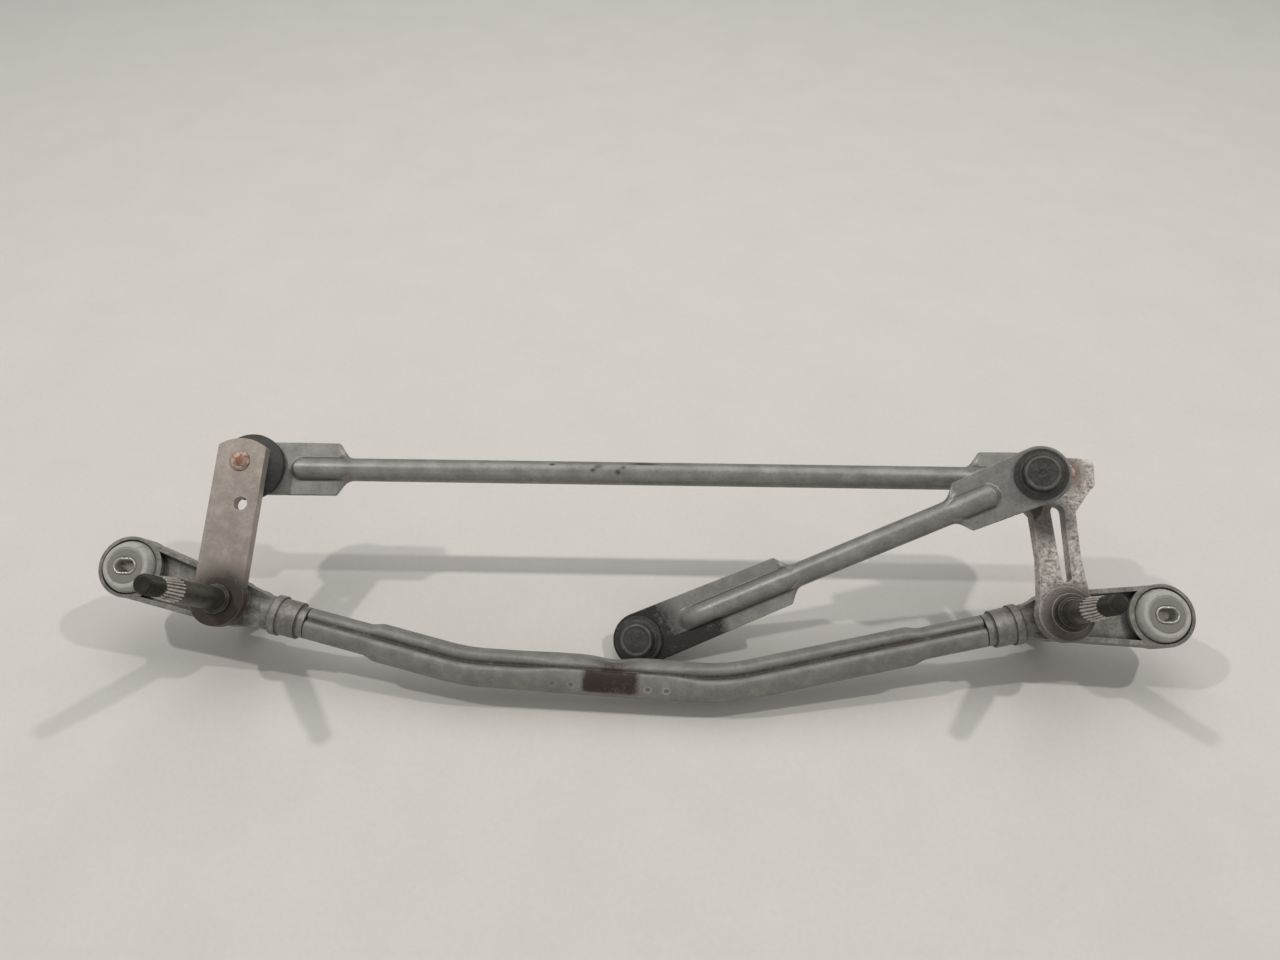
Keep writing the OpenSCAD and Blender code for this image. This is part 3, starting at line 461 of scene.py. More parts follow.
def skin(name, parts, where, slot, body, replaced):
    """One smooth closed mesh from parts. A grid whose rows don't close gets a flat cap at both ends."""
    verts, faces, marks, start = [], [], {}, 0
    for grid, closed, painted in parts:
        rows, cols = grid.shape[:2]
        points = place(grid.reshape(-1, 3), where)
        made = [quads(rows, cols, closed)]
        if not closed:
            ring = np.arange(cols)[None]
            made += [ring[:, ::-1], ring + (rows - 1) * cols]
        if inside_out(points, made):
            made = [f[:, ::-1] for f in made]
        for f in made:
            faces += (f + start).tolist()
        verts.append(points)
        for key, value in painted.items():
            marks.setdefault(key, []).append((start, value.ravel()))
        start += len(points)
    mesh = bpy.data.meshes.new(name)
    mesh.from_pydata(np.concatenate(verts).tolist(), [], faces)
    mesh.polygons.foreach_set("use_smooth", [len(f) == 4 for f in faces])
    for key, runs in marks.items():
        paint = np.zeros(start, np.float32)
        for first, value in runs:
            paint[first:first + len(value)] = value
        mesh.attributes.new(key, "FLOAT", "POINT").data.foreach_set("value", paint)
    mesh.update()
    obj = bpy.data.objects.new(name, mesh)
    bpy.context.scene.collection.objects.link(obj)
    dress(obj, MATS[slot])
    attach(obj, body)
    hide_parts(*replaced)
    print(name, len(mesh.vertices), "points")


print("a part of one mark carries", list(part(np.zeros((2, 3, 3)), dirt=0)[2]))

# %% [markdown]
# ## Frame tube
# The tube is pressed from one length of steel pipe: swaged thin at both ends, bent twice, grooved
# along its top and squeezed flat in a saddle, where a clamp once held it. It could be a curve with a
# bevel profile, but the section changes all the way. So it is one sweep, and its path comes first:
# straight legs and round bends, given by a heading at each length.

# %% Path of the tube
LEFT_LEG, LEFT_FALL, LEFT_START = 135.6, np.radians(13.8), 45.5
RIGHT_LEG, RIGHT_FALL, RIGHT_START = 181.3, np.radians(12.5), 39
BEND_R, SADDLE_X = 120, 12.5

bend_a = np.array([-SPAN / 2 + LEFT_LEG * np.cos(LEFT_FALL), -LEFT_LEG * np.sin(LEFT_FALL)])
bend_b = np.array([SPAN / 2 - RIGHT_LEG * np.cos(RIGHT_FALL), -RIGHT_LEG * np.sin(RIGHT_FALL)])
chord = bend_b - bend_a
MIDDLE = np.arctan2(chord[1], chord[0])
cut_a = BEND_R * np.tan((MIDDLE + LEFT_FALL) / 2)
cut_b = BEND_R * np.tan((RIGHT_FALL - MIDDLE) / 2)
leg_a = LEFT_LEG - LEFT_START - cut_a
leg_b = RIGHT_LEG - RIGHT_START - cut_b
knots = np.cumsum([0, leg_a, BEND_R * (MIDDLE + LEFT_FALL), np.linalg.norm(chord) - cut_a - cut_b,
                   BEND_R * (RIGHT_FALL - MIDDLE), leg_b])
headings = [-LEFT_FALL, -LEFT_FALL, MIDDLE, MIDDLE, RIGHT_FALL, RIGHT_FALL]
TUBE_END = knots[-1]
SADDLE_S = knots[2] + (-SADDLE_X - bend_a[0]) / np.cos(MIDDLE) - cut_a


def tube_path(s):
    """Heading h(s), and p(s) = p0 + integral of (cos h, sin h) ds."""
    h = np.interp(s, knots, headings)
    mid = (h[1:] + h[:-1]) / 2
    step = np.diff(s)[:, None] * np.stack([np.cos(mid), np.sin(mid)], -1)
    start = np.array([-SPAN / 2 + LEFT_START * np.cos(LEFT_FALL), -LEFT_START * np.sin(LEFT_FALL)])
    return h, start + np.concatenate([np.zeros((1, 2)), np.cumsum(step, axis=0)])


print("tube of", round(TUBE_END, 1), "mm, saddle at", round(SADDLE_S, 1), "mm")

# %% [markdown]
# ### Section of the tube
# The groove is wide on the legs and a narrow crease in the saddle. Each ring is a circle whose
# radius falls by a bell curve at the groove. A sculpting brush could press it in, but a formula keeps
# it even along the whole tube. Small dimples lie on both sides of the rust that the clamp left.
# Dirt with painted shade in the groove and the dimples, rust, and painted highlights on the dimples'
# rims are marks on the same grid, so they follow the bends.

# %% Sweep of the tube
TUBE_R, NECK_R, NECK_LEN, NECK_STEP = 10.5, 8.6, 33, 9
SADDLE_HALF, SADDLE_FROM, SADDLE_EASE, SQUEEZE = 40, 0.7, 0.6, 0.07
GROOVE, GROOVE_AT, LEG_GROOVE, SADDLE_GROOVE = 3.2, 90 - 18, 15, 6
NECK_GROOVE, SADDLE_RELIEF, CROWDING = 0.6, 0.45, 0.6
NOTCH, NOTCH_HALF, NOTCH_AT, NOTCH_SPREAD = 2.6, 9, 20, 40
DIMPLE_GAPS, DIMPLE_AT, DIMPLE_R, DIMPLE_DEPTH = (-31, -21, 20, 30), 124, 1.3, 0.8
DIMPLE_HIGHLIGHT_R, DIMPLE_HIGHLIGHT_HALF, FAINT_HIGHLIGHT = 1.5 * DIMPLE_R, 0.5, 0.6
DIRT_AND_SHADE_WIDE, SADDLE_WIDER, NECK_DIRT_AND_SHADE, SADDLE_FAINTER, DIMPLE_SHADE = 0.72, 0.08, 0.95, 0.3, 0.5
RUST_X, RUST_HALF, RUST_EDGE, RUST_LOW, RUST_FADE, RUST_FULL = -13.5, 18, 8, 158, 26, 1.2
DRIP_FROM, DRIP_FADE, DRIP_HALF, DRIP_FULL = 15, 25, 15, 0.6


def tube_grid(rows=620, cols=144):
    """Ring radius R(s) - groove(s) bell((a - A) / g(s)) - notch - dimples, squeezed by 1 - k in the saddle.
    The angles t - c sin t crowd at the groove, where the section turns most sharply."""
    s = np.linspace(0, TUBE_END, rows)
    h, path = tube_path(s)
    swell = ease((np.minimum(s, TUBE_END - s) - NECK_LEN) / NECK_STEP)[:, None]
    off = np.abs(s - SADDLE_S)[:, None]
    saddle = 1 - ease((off - SADDLE_HALF * SADDLE_FROM) / (SADDLE_HALF * SADDLE_EASE))
    radius = NECK_R + (TUBE_R - NECK_R) * swell
    half = LEG_GROOVE + (SADDLE_GROOVE - LEG_GROOVE) * saddle
    depth = GROOVE * (NECK_GROOVE + (1 - NECK_GROOVE) * swell) * (1 - SADDLE_RELIEF * saddle)
    t = circle(cols)
    a = GROOVE_AT + np.degrees(t - CROWDING * np.sin(t))
    a = np.where(a > GROOVE_AT + 180, a - 360, a)
    dent = bell((a - NOTCH_AT) / NOTCH_SPREAD) + bell((a - NOTCH_AT - 360) / NOTCH_SPREAD)
    ring = radius - depth * bell((a - GROOVE_AT) / half) - NOTCH * bell(off / NOTCH_HALF) * dent
    dimple, rub = np.zeros_like(ring), np.zeros_like(ring)
    for gap in DIMPLE_GAPS:
        away = np.hypot(path[:, :1] - RUST_X - gap, TUBE_R * np.radians(a - DIMPLE_AT))
        dimple += bell(away / DIMPLE_R)
        # Painted highlight on the rim of each dimple, fainter on the left pair.
        rub += (1 if gap > 0 else FAINT_HIGHLIGHT) * bell((away - DIMPLE_HIGHLIGHT_R) / DIMPLE_HIGHLIGHT_HALF)
    ring = ring - DIMPLE_DEPTH * dimple
    across = ring * np.cos(np.radians(a)) * (1 + SQUEEZE * saddle / 2)
    up = ring * np.sin(np.radians(a)) * (1 - SQUEEZE * saddle)
    side = np.stack([-np.sin(h), np.cos(h)], -1)
    flat = path[:, None, :] + side[:, None, :] * across[..., None]
    # Dirt and painted shade along the groove, fainter in the saddle.
    dirt = bell((a - GROOVE_AT) / ((DIRT_AND_SHADE_WIDE + SADDLE_WIDER * saddle) * half))
    dirt = dirt * (NECK_DIRT_AND_SHADE + (1 - NECK_DIRT_AND_SHADE) * swell) * (1 - SADDLE_FAINTER * saddle)
    reach = ease((RUST_HALF - np.abs(path[:, :1] - RUST_X)) / RUST_EDGE)
    below = ease((a - GROOVE_AT) / RUST_EDGE) * ease((RUST_LOW - a) / RUST_FADE)
    drip = ease((a - DRIP_FROM) / DRIP_FADE) * (a <= GROOVE_AT) * bell(off / DRIP_HALF)
    # The groove mark also holds painted shade in the dimples.
    return part(np.concatenate([flat, up[..., None]], axis=-1), groove=np.maximum(dirt, DIMPLE_SHADE * dimple),
                rust=RUST_FULL * reach * below + DRIP_FULL * drip, rub=rub)


skin("frame_tube_pressed", [tube_grid()], LINK, "zinc_tube", "frame", ["frame_tube"])

# %% [markdown]
# ## Pivot shafts
# Each shaft is turned from bar, its cone is knurled to bite into a wiper arm, and the tip is cut
# with a thread. A Screw modifier could wind the thread, but knurl and thread are both ripples of the
# radius: one runs with the angle, the other climbs one pitch per turn. A real knurl has finer teeth,
# which would blur in the render, so there are only twenty.

# %% Profile of a shaft
CRANK_Z, SHAFT_R, SHAFT_FOOT = 14, 6, -36.4
COLLAR_R, COLLAR_H, EDGE_R = 8.2, 2.6, 0.7
KNURL_R, KNURL_END_R, KNURL_LEN = SHAFT_R + 0.2, 5.4, 16
THREAD_R, THREAD_LEN, THREAD_DEPTH, RUN_OUT, CHAMFER = 5, 14, 0.8, 1.5, 1


def shaft_profile(seat, knurl_z, thread_z, tip_z):
    """(r, z) from the foot up: bar, collar, knurled cone, undercut, thread with a chamfer, flat end."""
    bar = rounded([
        (0, SHAFT_FOOT), (SHAFT_R, SHAFT_FOOT), (SHAFT_R, seat), (COLLAR_R, seat),
        (COLLAR_R, seat + COLLAR_H), (KNURL_R, seat + COLLAR_H), (KNURL_R, knurl_z)], EDGE_R)
    cone_z = np.linspace(knurl_z + 0.05, thread_z, 24)
    cone = np.stack([np.interp(cone_z, [knurl_z, thread_z], [KNURL_R, KNURL_END_R]), cone_z], -1)
    neck_r = THREAD_R - THREAD_DEPTH
    neck = np.array([(neck_r, thread_z + 0.05), (neck_r, thread_z + RUN_OUT - 0.1)])
    cut_z = np.linspace(thread_z + RUN_OUT, tip_z, 104)
    cut = np.stack([np.minimum(THREAD_R, THREAD_R - CHAMFER + (tip_z - cut_z)), cut_z], -1)
    end = np.array([(THREAD_R - CHAMFER - 0.1, tip_z), (THREAD_R - 2 * CHAMFER, tip_z), (0, tip_z)])
    return np.concatenate([bar, cone, neck, cut, end])


print("shafts of", 2 * SHAFT_R, "mm with a thread of", 2 * THREAD_R, "mm")

# %% [markdown]
# ### Ripples of the shafts
# Knurl and thread use the same triangle wave between 0 and 1. The wave also paints the bare crests
# of the knurl and the oil in the thread, so colour and shape can't drift apart.

# %% Turned shafts
PITCH, THREAD_FADE, TEETH, TOOTH_DEPTH, TOOTH_DIRT = 1.5, 0.6, 20, 0.6, 0.95
LEFT_COLLAR, LEFT_TIP, RIGHT_COLLAR, RIGHT_TIP = 6, 81, 12.5, 65


def shaft_grid(x, collar, tip, cols=240):
    """r(z, a) = profile(z) - thread triangle(z / pitch - a / 2 pi) - knurl triangle(teeth a / 2 pi)"""
    tip_z = CRANK_Z + tip
    thread_z = tip_z - THREAD_LEN
    knurl_z = thread_z - KNURL_LEN
    profile = shaft_profile(CRANK_Z + collar, knurl_z, thread_z, tip_z)
    a = circle(cols)
    r, z = profile[:, :1], profile[:, 1:]
    wave = np.abs((z / PITCH - a / (2 * np.pi)) % 1 * 2 - 1)
    tooth = np.abs((TEETH * a / (2 * np.pi)) % 1 * 2 - 1)
    on_thread = ease((z - thread_z - RUN_OUT) / THREAD_FADE) * (r > 1)
    on_knurl = ease(z - knurl_z) * (z <= thread_z) * (z > knurl_z)
    r = np.maximum(r - on_thread * THREAD_DEPTH * wave - on_knurl * TOOTH_DEPTH * tooth, AXIS_R)
    grid = np.stack([x + r * np.cos(a), r * np.sin(a), np.broadcast_to(z, r.shape)], -1)
    return part(grid, bare=on_knurl * (1 - TOOTH_DIRT * tooth), oil=ease(z - thread_z - 1) * (1 + wave) / 2)


skin("left_shaft_turned", [shaft_grid(-SPAN / 2, LEFT_COLLAR, LEFT_TIP)],
     LINK, "shaft_steel", "left_crank", ["left_shaft"])
skin("right_shaft_turned", [shaft_grid(SPAN / 2, RIGHT_COLLAR, RIGHT_TIP)],
     LINK, "shaft_steel", "right_crank", ["right_shaft"])

# %% [markdown]
# ## Rods
# Each rod is one strip of zinc plated sheet rolled into a tube. Towards each ball the strip opens
# again into a flat head, and the bead left in its middle keeps the head stiff. A few curves could be
# bridged, but the bead would need many more. So the long middle is one section that morphs from an
# arched sheet to a closed ring.

# %% Outline of a head
ROD_R, ROD_WALL, SHEET, HEAD_R, HOLE_R = 6.5, 1.65, 2.2, 15.3, 10.05
RUN, NOSE_X, NOSE_LEN, BEND_ROOM = 9, 21, 8, 4


def head_width(x, head, shoulder):
    """Half width of a head: straight from its round end to its shoulder, then down to the tube."""
    slope = np.arctan2(shoulder, head) + np.arccos(HEAD_R / np.hypot(head, shoulder))
    x0, y0 = HEAD_R * np.cos(slope), HEAD_R * np.sin(slope)
    return np.interp(x, [x0, head, head + RUN], [y0, shoulder, ROD_R])


def rod_rows(length, head_a, head_b):
    """Places along a rod, close together where its section changes."""
    nose_b, head_b = length - NOSE_X, length - head_b
    runs = [(NOSE_X, NOSE_X + NOSE_LEN, 24), (NOSE_X + NOSE_LEN, head_a - 3, 8),
            (head_a - 3, head_a + RUN + BEND_ROOM, 32),
            (head_a + RUN + BEND_ROOM, head_b - RUN - BEND_ROOM, 280),
            (head_b - RUN - BEND_ROOM, head_b + 3, 32),
            (head_b + 3, nose_b - NOSE_LEN, 8), (nose_b - NOSE_LEN, nose_b, 24)]
    ends = [NOSE_X + 0.05, nose_b - 0.05]
    return np.unique(np.concatenate([ends] + [np.linspace(*run) for run in runs]))


print("rods of", 2 * ROD_R, "mm with heads of", 2 * HEAD_R, "mm")

# %% [markdown]
# ### Middle of a rod
# The top of the sheet follows the bead's arch where that is higher, and the underside is hollow. The
# nose of the bead is bowed, as a press leaves it, because the arch starts later towards its sides.

# %% Section of a rod
NOSE_BOW, BLEND, CORE_WIDE, CORE_SHARE = 0.09, 0.3, 1.3, 0.9
SEAM_DEPTH, SEAM_HALF, FOOT_HALF = 0.05, 0.1, 0.7


def rod_grid(length, heads, shoulder, noses, top=16):
    """Section at x: (1 - m) sheet + m ring, with ease curves m(x) and b(x - k y^2). The sheet's top is the
    greater of half its thickness and b sqrt(r^2 - y^2), blended by a square root."""
    x = rod_rows(length, *heads)
    near_a = x < length / 2
    reach = np.where(near_a, x, length - x)
    width_a, width_b = head_width(x, heads[0], shoulder), head_width(length - x, heads[1], shoulder)
    w = np.where(near_a, width_a, width_b)[:, None]
    m = ease((reach - np.where(near_a, *heads) + 1) / (RUN + 2))[:, None]
    wing = np.linspace(1, 0, top, endpoint=False)
    core = np.minimum(CORE_WIDE * ROD_R, CORE_SHARE * w)
    y_half = np.concatenate([core + (w - core) * wing, core * np.cos(np.linspace(0, np.pi / 2, top))], axis=1)
    y_top = np.concatenate([y_half, -y_half[:, -2::-1]], axis=1)
    y_low = y_top[:, ::-1]
    tip = (reach - NOSE_X)[:, None] - NOSE_BOW * np.minimum(np.abs(y_top), ROD_R) ** 2
    b = ease(tip / np.where(near_a, *noses)[:, None])
    arch = b * np.sqrt(np.maximum(ROD_R ** 2 - y_top ** 2, 0))
    h, bore = SHEET / 2, ROD_R - ROD_WALL
    z_top = (h + arch + np.sqrt((h - arch) ** 2 + BLEND)) / 2 - 0.5 * np.sqrt(h ** 2 + BLEND) + h / 2
    hollow = np.where(np.abs(y_low) < bore, np.sqrt(np.maximum(bore ** 2 - y_low ** 2, 0)) + h, 0)
    y = np.concatenate([y_top, y_low], axis=1)
    z = np.concatenate([z_top, b[:, ::-1] * hollow - h], axis=1)
    a = np.linspace(0, np.pi, y_top.shape[1])
    a = np.concatenate([a, np.pi + a])
    seam = 1 - SEAM_DEPTH * bell((a - 1.5 * np.pi) / SEAM_HALF)
    y = (1 - m) * y + m * ROD_R * np.cos(a) * seam
    z = (1 - m) * z + m * ROD_R * np.sin(a) * seam
    # Painted shade along the foot of the bead, on its top side only.
    foot = bell((np.abs(y) - ROD_R) / FOOT_HALF) * (z > 0) * (1 - m) * np.concatenate([b, b[:, ::-1]], axis=1)
    return np.stack([np.broadcast_to(x[:, None], y.shape), y, z], -1), np.clip(foot, 0, 1)


print("sheet of", SHEET, "mm, arched", ROD_R - SHEET / 2, "mm high at a bead")

# %% [markdown]
# ### Heads of a rod
# Each round end is a flat ring of sheet with a hole for the socket. A Boolean could cut the hole,
# but a ring that runs from the hole's edge to the outline keeps every face four-sided.

# %% Ring of sheet round a ball
RING_EDGE, HIDDEN_EDGE = 0.35, 0.01
# Each row: share of the way out, edge widths outwards, face (1 top, -1 bottom), edge widths up.
RING_ROWS = np.array([
    (0, 2, -1, 0), (0, 1, -1, 0), (0, 0, -1, 1), (0, 0, 1, -1), (0, 1, 1, 0), (0, 2, 1, 0),
    (1, -2, 1, 0), (1, -1, 1, 0), (1, 0, 1, -1), (1, 0, -1, 1), (1, -1, -1, 0), (1, -2, -1, 0)], float)


def head_ring(at, sign, head, shoulder, cols=160):
    """Flat ring of sheet round a ball: from the hole's edge to the outline rho(a), with rounded edges."""
    a = circle(cols)
    ca, sa = np.cos(a), np.sin(a)
    x = np.linspace(0, NOSE_X, 60)
    w = head_width(x, head, shoulder)
    side = np.interp(np.abs(np.arctan2(sa, ca)), np.arctan2(w, x)[::-1], np.hypot(w, x)[::-1], right=HEAD_R)
    front = np.where(ca > 0.1, NOSE_X / np.maximum(ca, 0.1), 1e3)
    rho = np.where(ca > 0, np.minimum(np.maximum(side, HEAD_R), front), HEAD_R)
    e = np.where(rho < front - 1e-6, RING_EDGE, HIDDEN_EDGE)
    share, inset, face, drop = RING_ROWS.T[:, :, None]
    r = HOLE_R + share * (rho - HOLE_R) + inset * e
    return np.stack([at + sign * r * ca, r * sa, face * SHEET / 2 + drop * e], -1)


print("a ring of", len(RING_ROWS), "rows round a hole of", 2 * HOLE_R, "mm")

# %% [markdown]
# ### Oil and chips
# Oil has crept out of the open ball socket along the drive rod, farther on its lower wing. The tie
# rod's plating is chipped near its middle. Both are painted marks, since a mark can stop at a wing's
# edge, where a round stain can't.

# %% Marks on the rods
OIL_HIGH, OIL_LOW, FADE_HIGH, FADE_LOW, WING_FROM = 36, 52, 24, 5, 0.8
# Each chip: its place along the rod and across it, then its half length and half width in mm.
CHIPS = ((197, 2.6, 2.6, 1.4), (194, 0.4, 1.4, 1.2), (208, -0.6, 1.8, 1.8), (211, 2.0, 1.6, 1.2),
         (222, 4.6, 9, 0.8), (171, 3.4, 1.8, 0.8))


def oiled(grid):
    """Oil round the ball at x = 0: ease((R - distance) / fade), with a longer R and a sharper edge below."""
    x, y = grid[..., 0], grid[..., 1]
    low = y < -WING_FROM * ROD_R
    return ease((np.where(low, OIL_LOW, OIL_HIGH) - np.hypot(x, y)) / np.where(low, FADE_LOW, FADE_HIGH))


def chipped(grid, chips):
    """Chips on the upper half: the sum of bell((x - x0) / a) bell((y - y0) / b) over chips (x0, y0, a, b)."""
    x, y, z = np.moveaxis(grid, -1, 0)
    marks = (bell((x - x0) / a) * bell((y - y0) / b) for x0, y0, a, b in chips)
    return (z > 0) * sum(marks, np.zeros_like(x))


print(len(CHIPS), "chips, oil up to", OIL_LOW, "mm from the ball")

# %% [markdown]
# ### Both rods
# The rods differ in length, heads and shoulders, so one function makes them both. Their middle and
# heads could be merged into one surface, but they meet in flat ends inside the sheet, where no seam
# shows, so they only lie against each other.

# %% Rolled rods
CRANK = np.array([4.64, 75.858])
LEFT_BALL = np.array([-SPAN / 2, 0]) + CRANK
RIGHT_BALL = np.array([SPAN / 2, 0]) + CRANK
TIE_Z = 2
TIE_HEADS, TIE_SHOULDER, TIE_NOSES = (49, 40), 15, (4.5, 4.5)
DRIVE_HEADS, DRIVE_SHOULDER, DRIVE_NOSES = (88, 43), 13.7, (14, 4.5)


def rod_parts(length, heads, shoulder, noses, shift, oil, chips):
    """Middle and two heads of a rod, moved by shift."""
    move = np.array(shift, float)
    # rod_grid also gives the painted shade along the foot of the bead, carried as a mark.
    middle, seam = rod_grid(length, heads, shoulder, noses)
    near, far = head_ring(0, 1, heads[0], shoulder), head_ring(length, -1, heads[1], shoulder)
    return [part(middle + move, seam=seam, oil=oil * oiled(middle), chip=chipped(middle, chips)),
            part(near + move, True, oil=oil * oiled(near)), part(far + move, True)]


skin("tie_rod_rolled",
     rod_parts(SPAN, TIE_HEADS, TIE_SHOULDER, TIE_NOSES, (*LEFT_BALL, TIE_Z), oil=0, chips=CHIPS),
     LINK, "zinc_rod", "tie_rod", ["tie_rod"])
skin("drive_rod_rolled",
     rod_parts(DRIVE_LEN, DRIVE_HEADS, DRIVE_SHOULDER, DRIVE_NOSES, (0, 0, 0), oil=1, chips=()),
     DRIVE, "zinc_rod", "drive_rod", ["drive_rod"])

# %% [markdown]
# ## Ball sockets
# The sockets are moulded acetal, snapped into the rod heads: a flange, a stepped cap with a small
# dimple from the gate, and a mouth for the ball. Everything on them is round. A Screw modifier could
# turn the profile, but a turned grid can carry the mark of the paler rim.

# %% Moulded sockets
ROOM_R, MOUTH_R, SKIRT_R, FLANGE_R, FLANGE_TOP = 7.06, 6.1, 11, 13.5, 3.4
CAP_TOP, DISC_SINK, GATE_SINK, RIM_R, RIM_HALF = 8.66, 0.4, 0.6, 8.2, 0.7


def socket_profile(gated):
    """From the top of the ball's room down its sphere, round the mouth and up the outside to the cap."""
    t = np.linspace(0, np.pi - np.arcsin(MOUTH_R / ROOM_R), 24)
    room = np.stack([ROOM_R * np.sin(t), ROOM_R * np.cos(t)], -1)
    face, disc = SHEET / 2, CAP_TOP - DISC_SINK
    gate = disc - GATE_SINK * gated
    outside = rounded([
        (MOUTH_R, -3.6), (MOUTH_R + 1.2, -5), (9, -5), (SKIRT_R, -3.8), (SKIRT_R, -face), (10, -face),
        (10, face), (FLANGE_R, face), (FLANGE_R, FLANGE_TOP), (11.4, FLANGE_TOP), (11.1, 4.2), (10, 4.4),
        (9.2, CAP_TOP - 0.6), (8.5, CAP_TOP), (7.6, CAP_TOP), (7.3, disc), (1.9, disc), (1.5, gate),
        (0, gate)], 0.3)
    return np.concatenate([room, outside])


def lift(grid, z):
    """The grid raised by z."""
    return grid + np.array([0, 0, z])


def socket_part(gated, centre, turn=1, z=0):
    """Turned socket with its rim marked: bell((r - R) / half) on the cap's top."""
    profile = socket_profile(gated)
    r, high = profile.T
    rim = bell((r - RIM_R) / RIM_HALF) * (high > CAP_TOP - 2 * DISC_SINK)
    return part(lift(turned(profile, centre, turn=turn), z), rim=rim[:, None])


for name, ball in (("tie_left", LEFT_BALL), ("tie_right", RIGHT_BALL)):
    skin(name + "_socket_moulded", [socket_part(1, ball, -1, TIE_Z)],
         LINK, "black_plastic", "tie_rod", [name + "_socket"])
for name, x, gated in (("drive_free", 0, 0), ("drive_crank", DRIVE_LEN, 1)):
    skin(name + "_socket_moulded", [socket_part(gated, (x, 0))],
         DRIVE, "black_plastic", "drive_rod", [name + "_socket"])

# %% [markdown]
# ## Boots
# The boots are thin rubber bells that keep the grease in. A Solidify modifier could thicken a single
# surface, but its lips would be square. Here one closed profile, outside and inside, is turned about
# the stud, so the wall is rounded at the hole too.

# %% Moulded boots
WIDE_BOOT, NARROW_BOOT, STUD_HOLE, SLOPED_HOLE = 38, 25, 5.3, 7.13
FOOT_R, BOOT_WALL = 11.1, 1.6


def boot_profile(width, hole):
    """Closed profile of a boot: foot under the rim, bell over the ball's neck with a hole for it."""
    r = width / 2
    wall = max(r - BOOT_WALL, FOOT_R + 0.1)
    return rounded([
        (FOOT_R, 1.1), (r - 0.8, 1.1), (r, 2), (r, 4.4), ((r + hole + 2.7) / 2, 7.6), (hole + 2.7, 9.6),
        (hole, 9.8), (hole, 8.6), (hole + 2.1, 8.5), ((r + hole + 1.5) / 2 - 0.2, 6.6), (wall, 3.8),
        (wall, 2.4), (FOOT_R, 2.4)], 0.7, closed=True)


for name, width, ball in (("tie_left", WIDE_BOOT, LEFT_BALL), ("tie_right", NARROW_BOOT, RIGHT_BALL)):
    bell_grid = lift(turned(boot_profile(width, STUD_HOLE), ball), TIE_Z)
    skin(name + "_boot_moulded", [part(bell_grid, True)], LINK, "black_rubber", "tie_rod", [name + "_boot"])
bell_grid = turned(boot_profile(NARROW_BOOT, SLOPED_HOLE), (DRIVE_LEN, 0), turn=-1)
skin("drive_crank_boot_moulded", [part(bell_grid, True)],
     DRIVE, "black_rubber", "drive_rod", ["drive_crank_boot"])

# %% [markdown]
# ## Ball studs
# A stud is headed and turned in one piece: ball, neck and collar, then a shank through the crank that
# is riveted over into a low dome. A sphere and cylinders could be joined, but one turned profile has
# no inner faces. The drive stud stands on its head, so it gets axes of its own.

# %% Riveted studs
BALL_R, STUD_NECK, STUD_COLLAR, SHANK_R, COLLAR_DROP, DOME_R = 7, 4.2, 6, 4.6, 1.4, 5.6
TIE_REACH, DRIVE_REACH, PLATE_THICK, PAD_THICK = 12, 13, 6, 7


def stud_profile(reach, through):
    """Sphere up to the neck, collar under the crank, shank and riveted dome over it."""
    t = np.linspace(np.pi, np.arcsin(STUD_NECK / BALL_R), 28)
    ball = np.stack([BALL_R * np.sin(t), BALL_R * np.cos(t)], -1)
    top, under = reach + through, reach - COLLAR_DROP
    stem = rounded([
        (STUD_NECK, 5.8), (STUD_NECK, under), (STUD_COLLAR, under), (STUD_COLLAR, reach), (SHANK_R, reach),
        (SHANK_R, top), (DOME_R, top), (DOME_R - 0.1, top + 0.7), (4.4, top + 1.3), (2.4, top + 1.55),
        (0, top + 1.6)], 0.5)
    return np.concatenate([ball, stem])


drive_axes = axes(crank_ball, LINK[1][0], -LINK[1][2])
skin("left_ball_stud_riveted", [part(lift(turned(stud_profile(TIE_REACH, PLATE_THICK), LEFT_BALL), TIE_Z))],
     LINK, "stud_steel", "left_crank", ["left_ball_stud"])
skin("right_tie_stud_riveted", [part(lift(turned(stud_profile(TIE_REACH, PAD_THICK), RIGHT_BALL), TIE_Z))],
     LINK, "stud_steel", "right_crank", ["right_tie_stud"])
skin("right_drive_stud_riveted", [part(turned(stud_profile(DRIVE_REACH, PAD_THICK)))],
     drive_axes, "stud_steel", "right_crank", ["right_drive_stud"])

# %% [markdown]
# ## Grommets and their sleeves
# A grommet is rubber buttoned into the eye, and a thin oblong sleeve lines its hole. A Boolean could
# cut the oblong, but leaves ragged faces. Here each row of the grid mixes two outlines, from a circle
# outside to an oblong inside.

# %% Oblong outline
ARM_H, DISC_RISE, SLOT_L, SLOT_W, SLOT_WALL = 16, 4.5, 10.4, 6.9, 1.1
GROMMET_TOP = ARM_H / 2 + DISC_RISE


def oblong(a, wall):
    """Distance along angle a from the centre to an outline that lies a wall outside the slot: r / sin a on
    the flats, else the end's circle."""
    c, r = (SLOT_L - SLOT_W) / 2, SLOT_W / 2 + wall
    s = np.abs(np.sin(a))
    flat = r / np.maximum(s, 1e-6)
    end = c * np.abs(np.cos(a)) + np.sqrt(np.maximum(r * r - (c * s) ** 2, 0))
    return np.where(flat * np.abs(np.cos(a)) < c, flat, end)


def polar(ring, a, z, centre):
    """(cx + ring cos a, cy + ring sin a, z)"""
    return np.stack([centre[0] + ring * np.cos(a), centre[1] + ring * np.sin(a),
                     np.broadcast_to(z, ring.shape)], -1)


print("slot", round(2 * float(oblong(0.0, 0.0)), 1), "mm long and", SLOT_W, "mm wide")

# %% [markdown]
# ### Rubber and sleeve
# The outer ring of the rubber is paler, and the disc within it darker. Both are marked by their
# radius. The sleeve stands a little proud, so its lip catches the light.

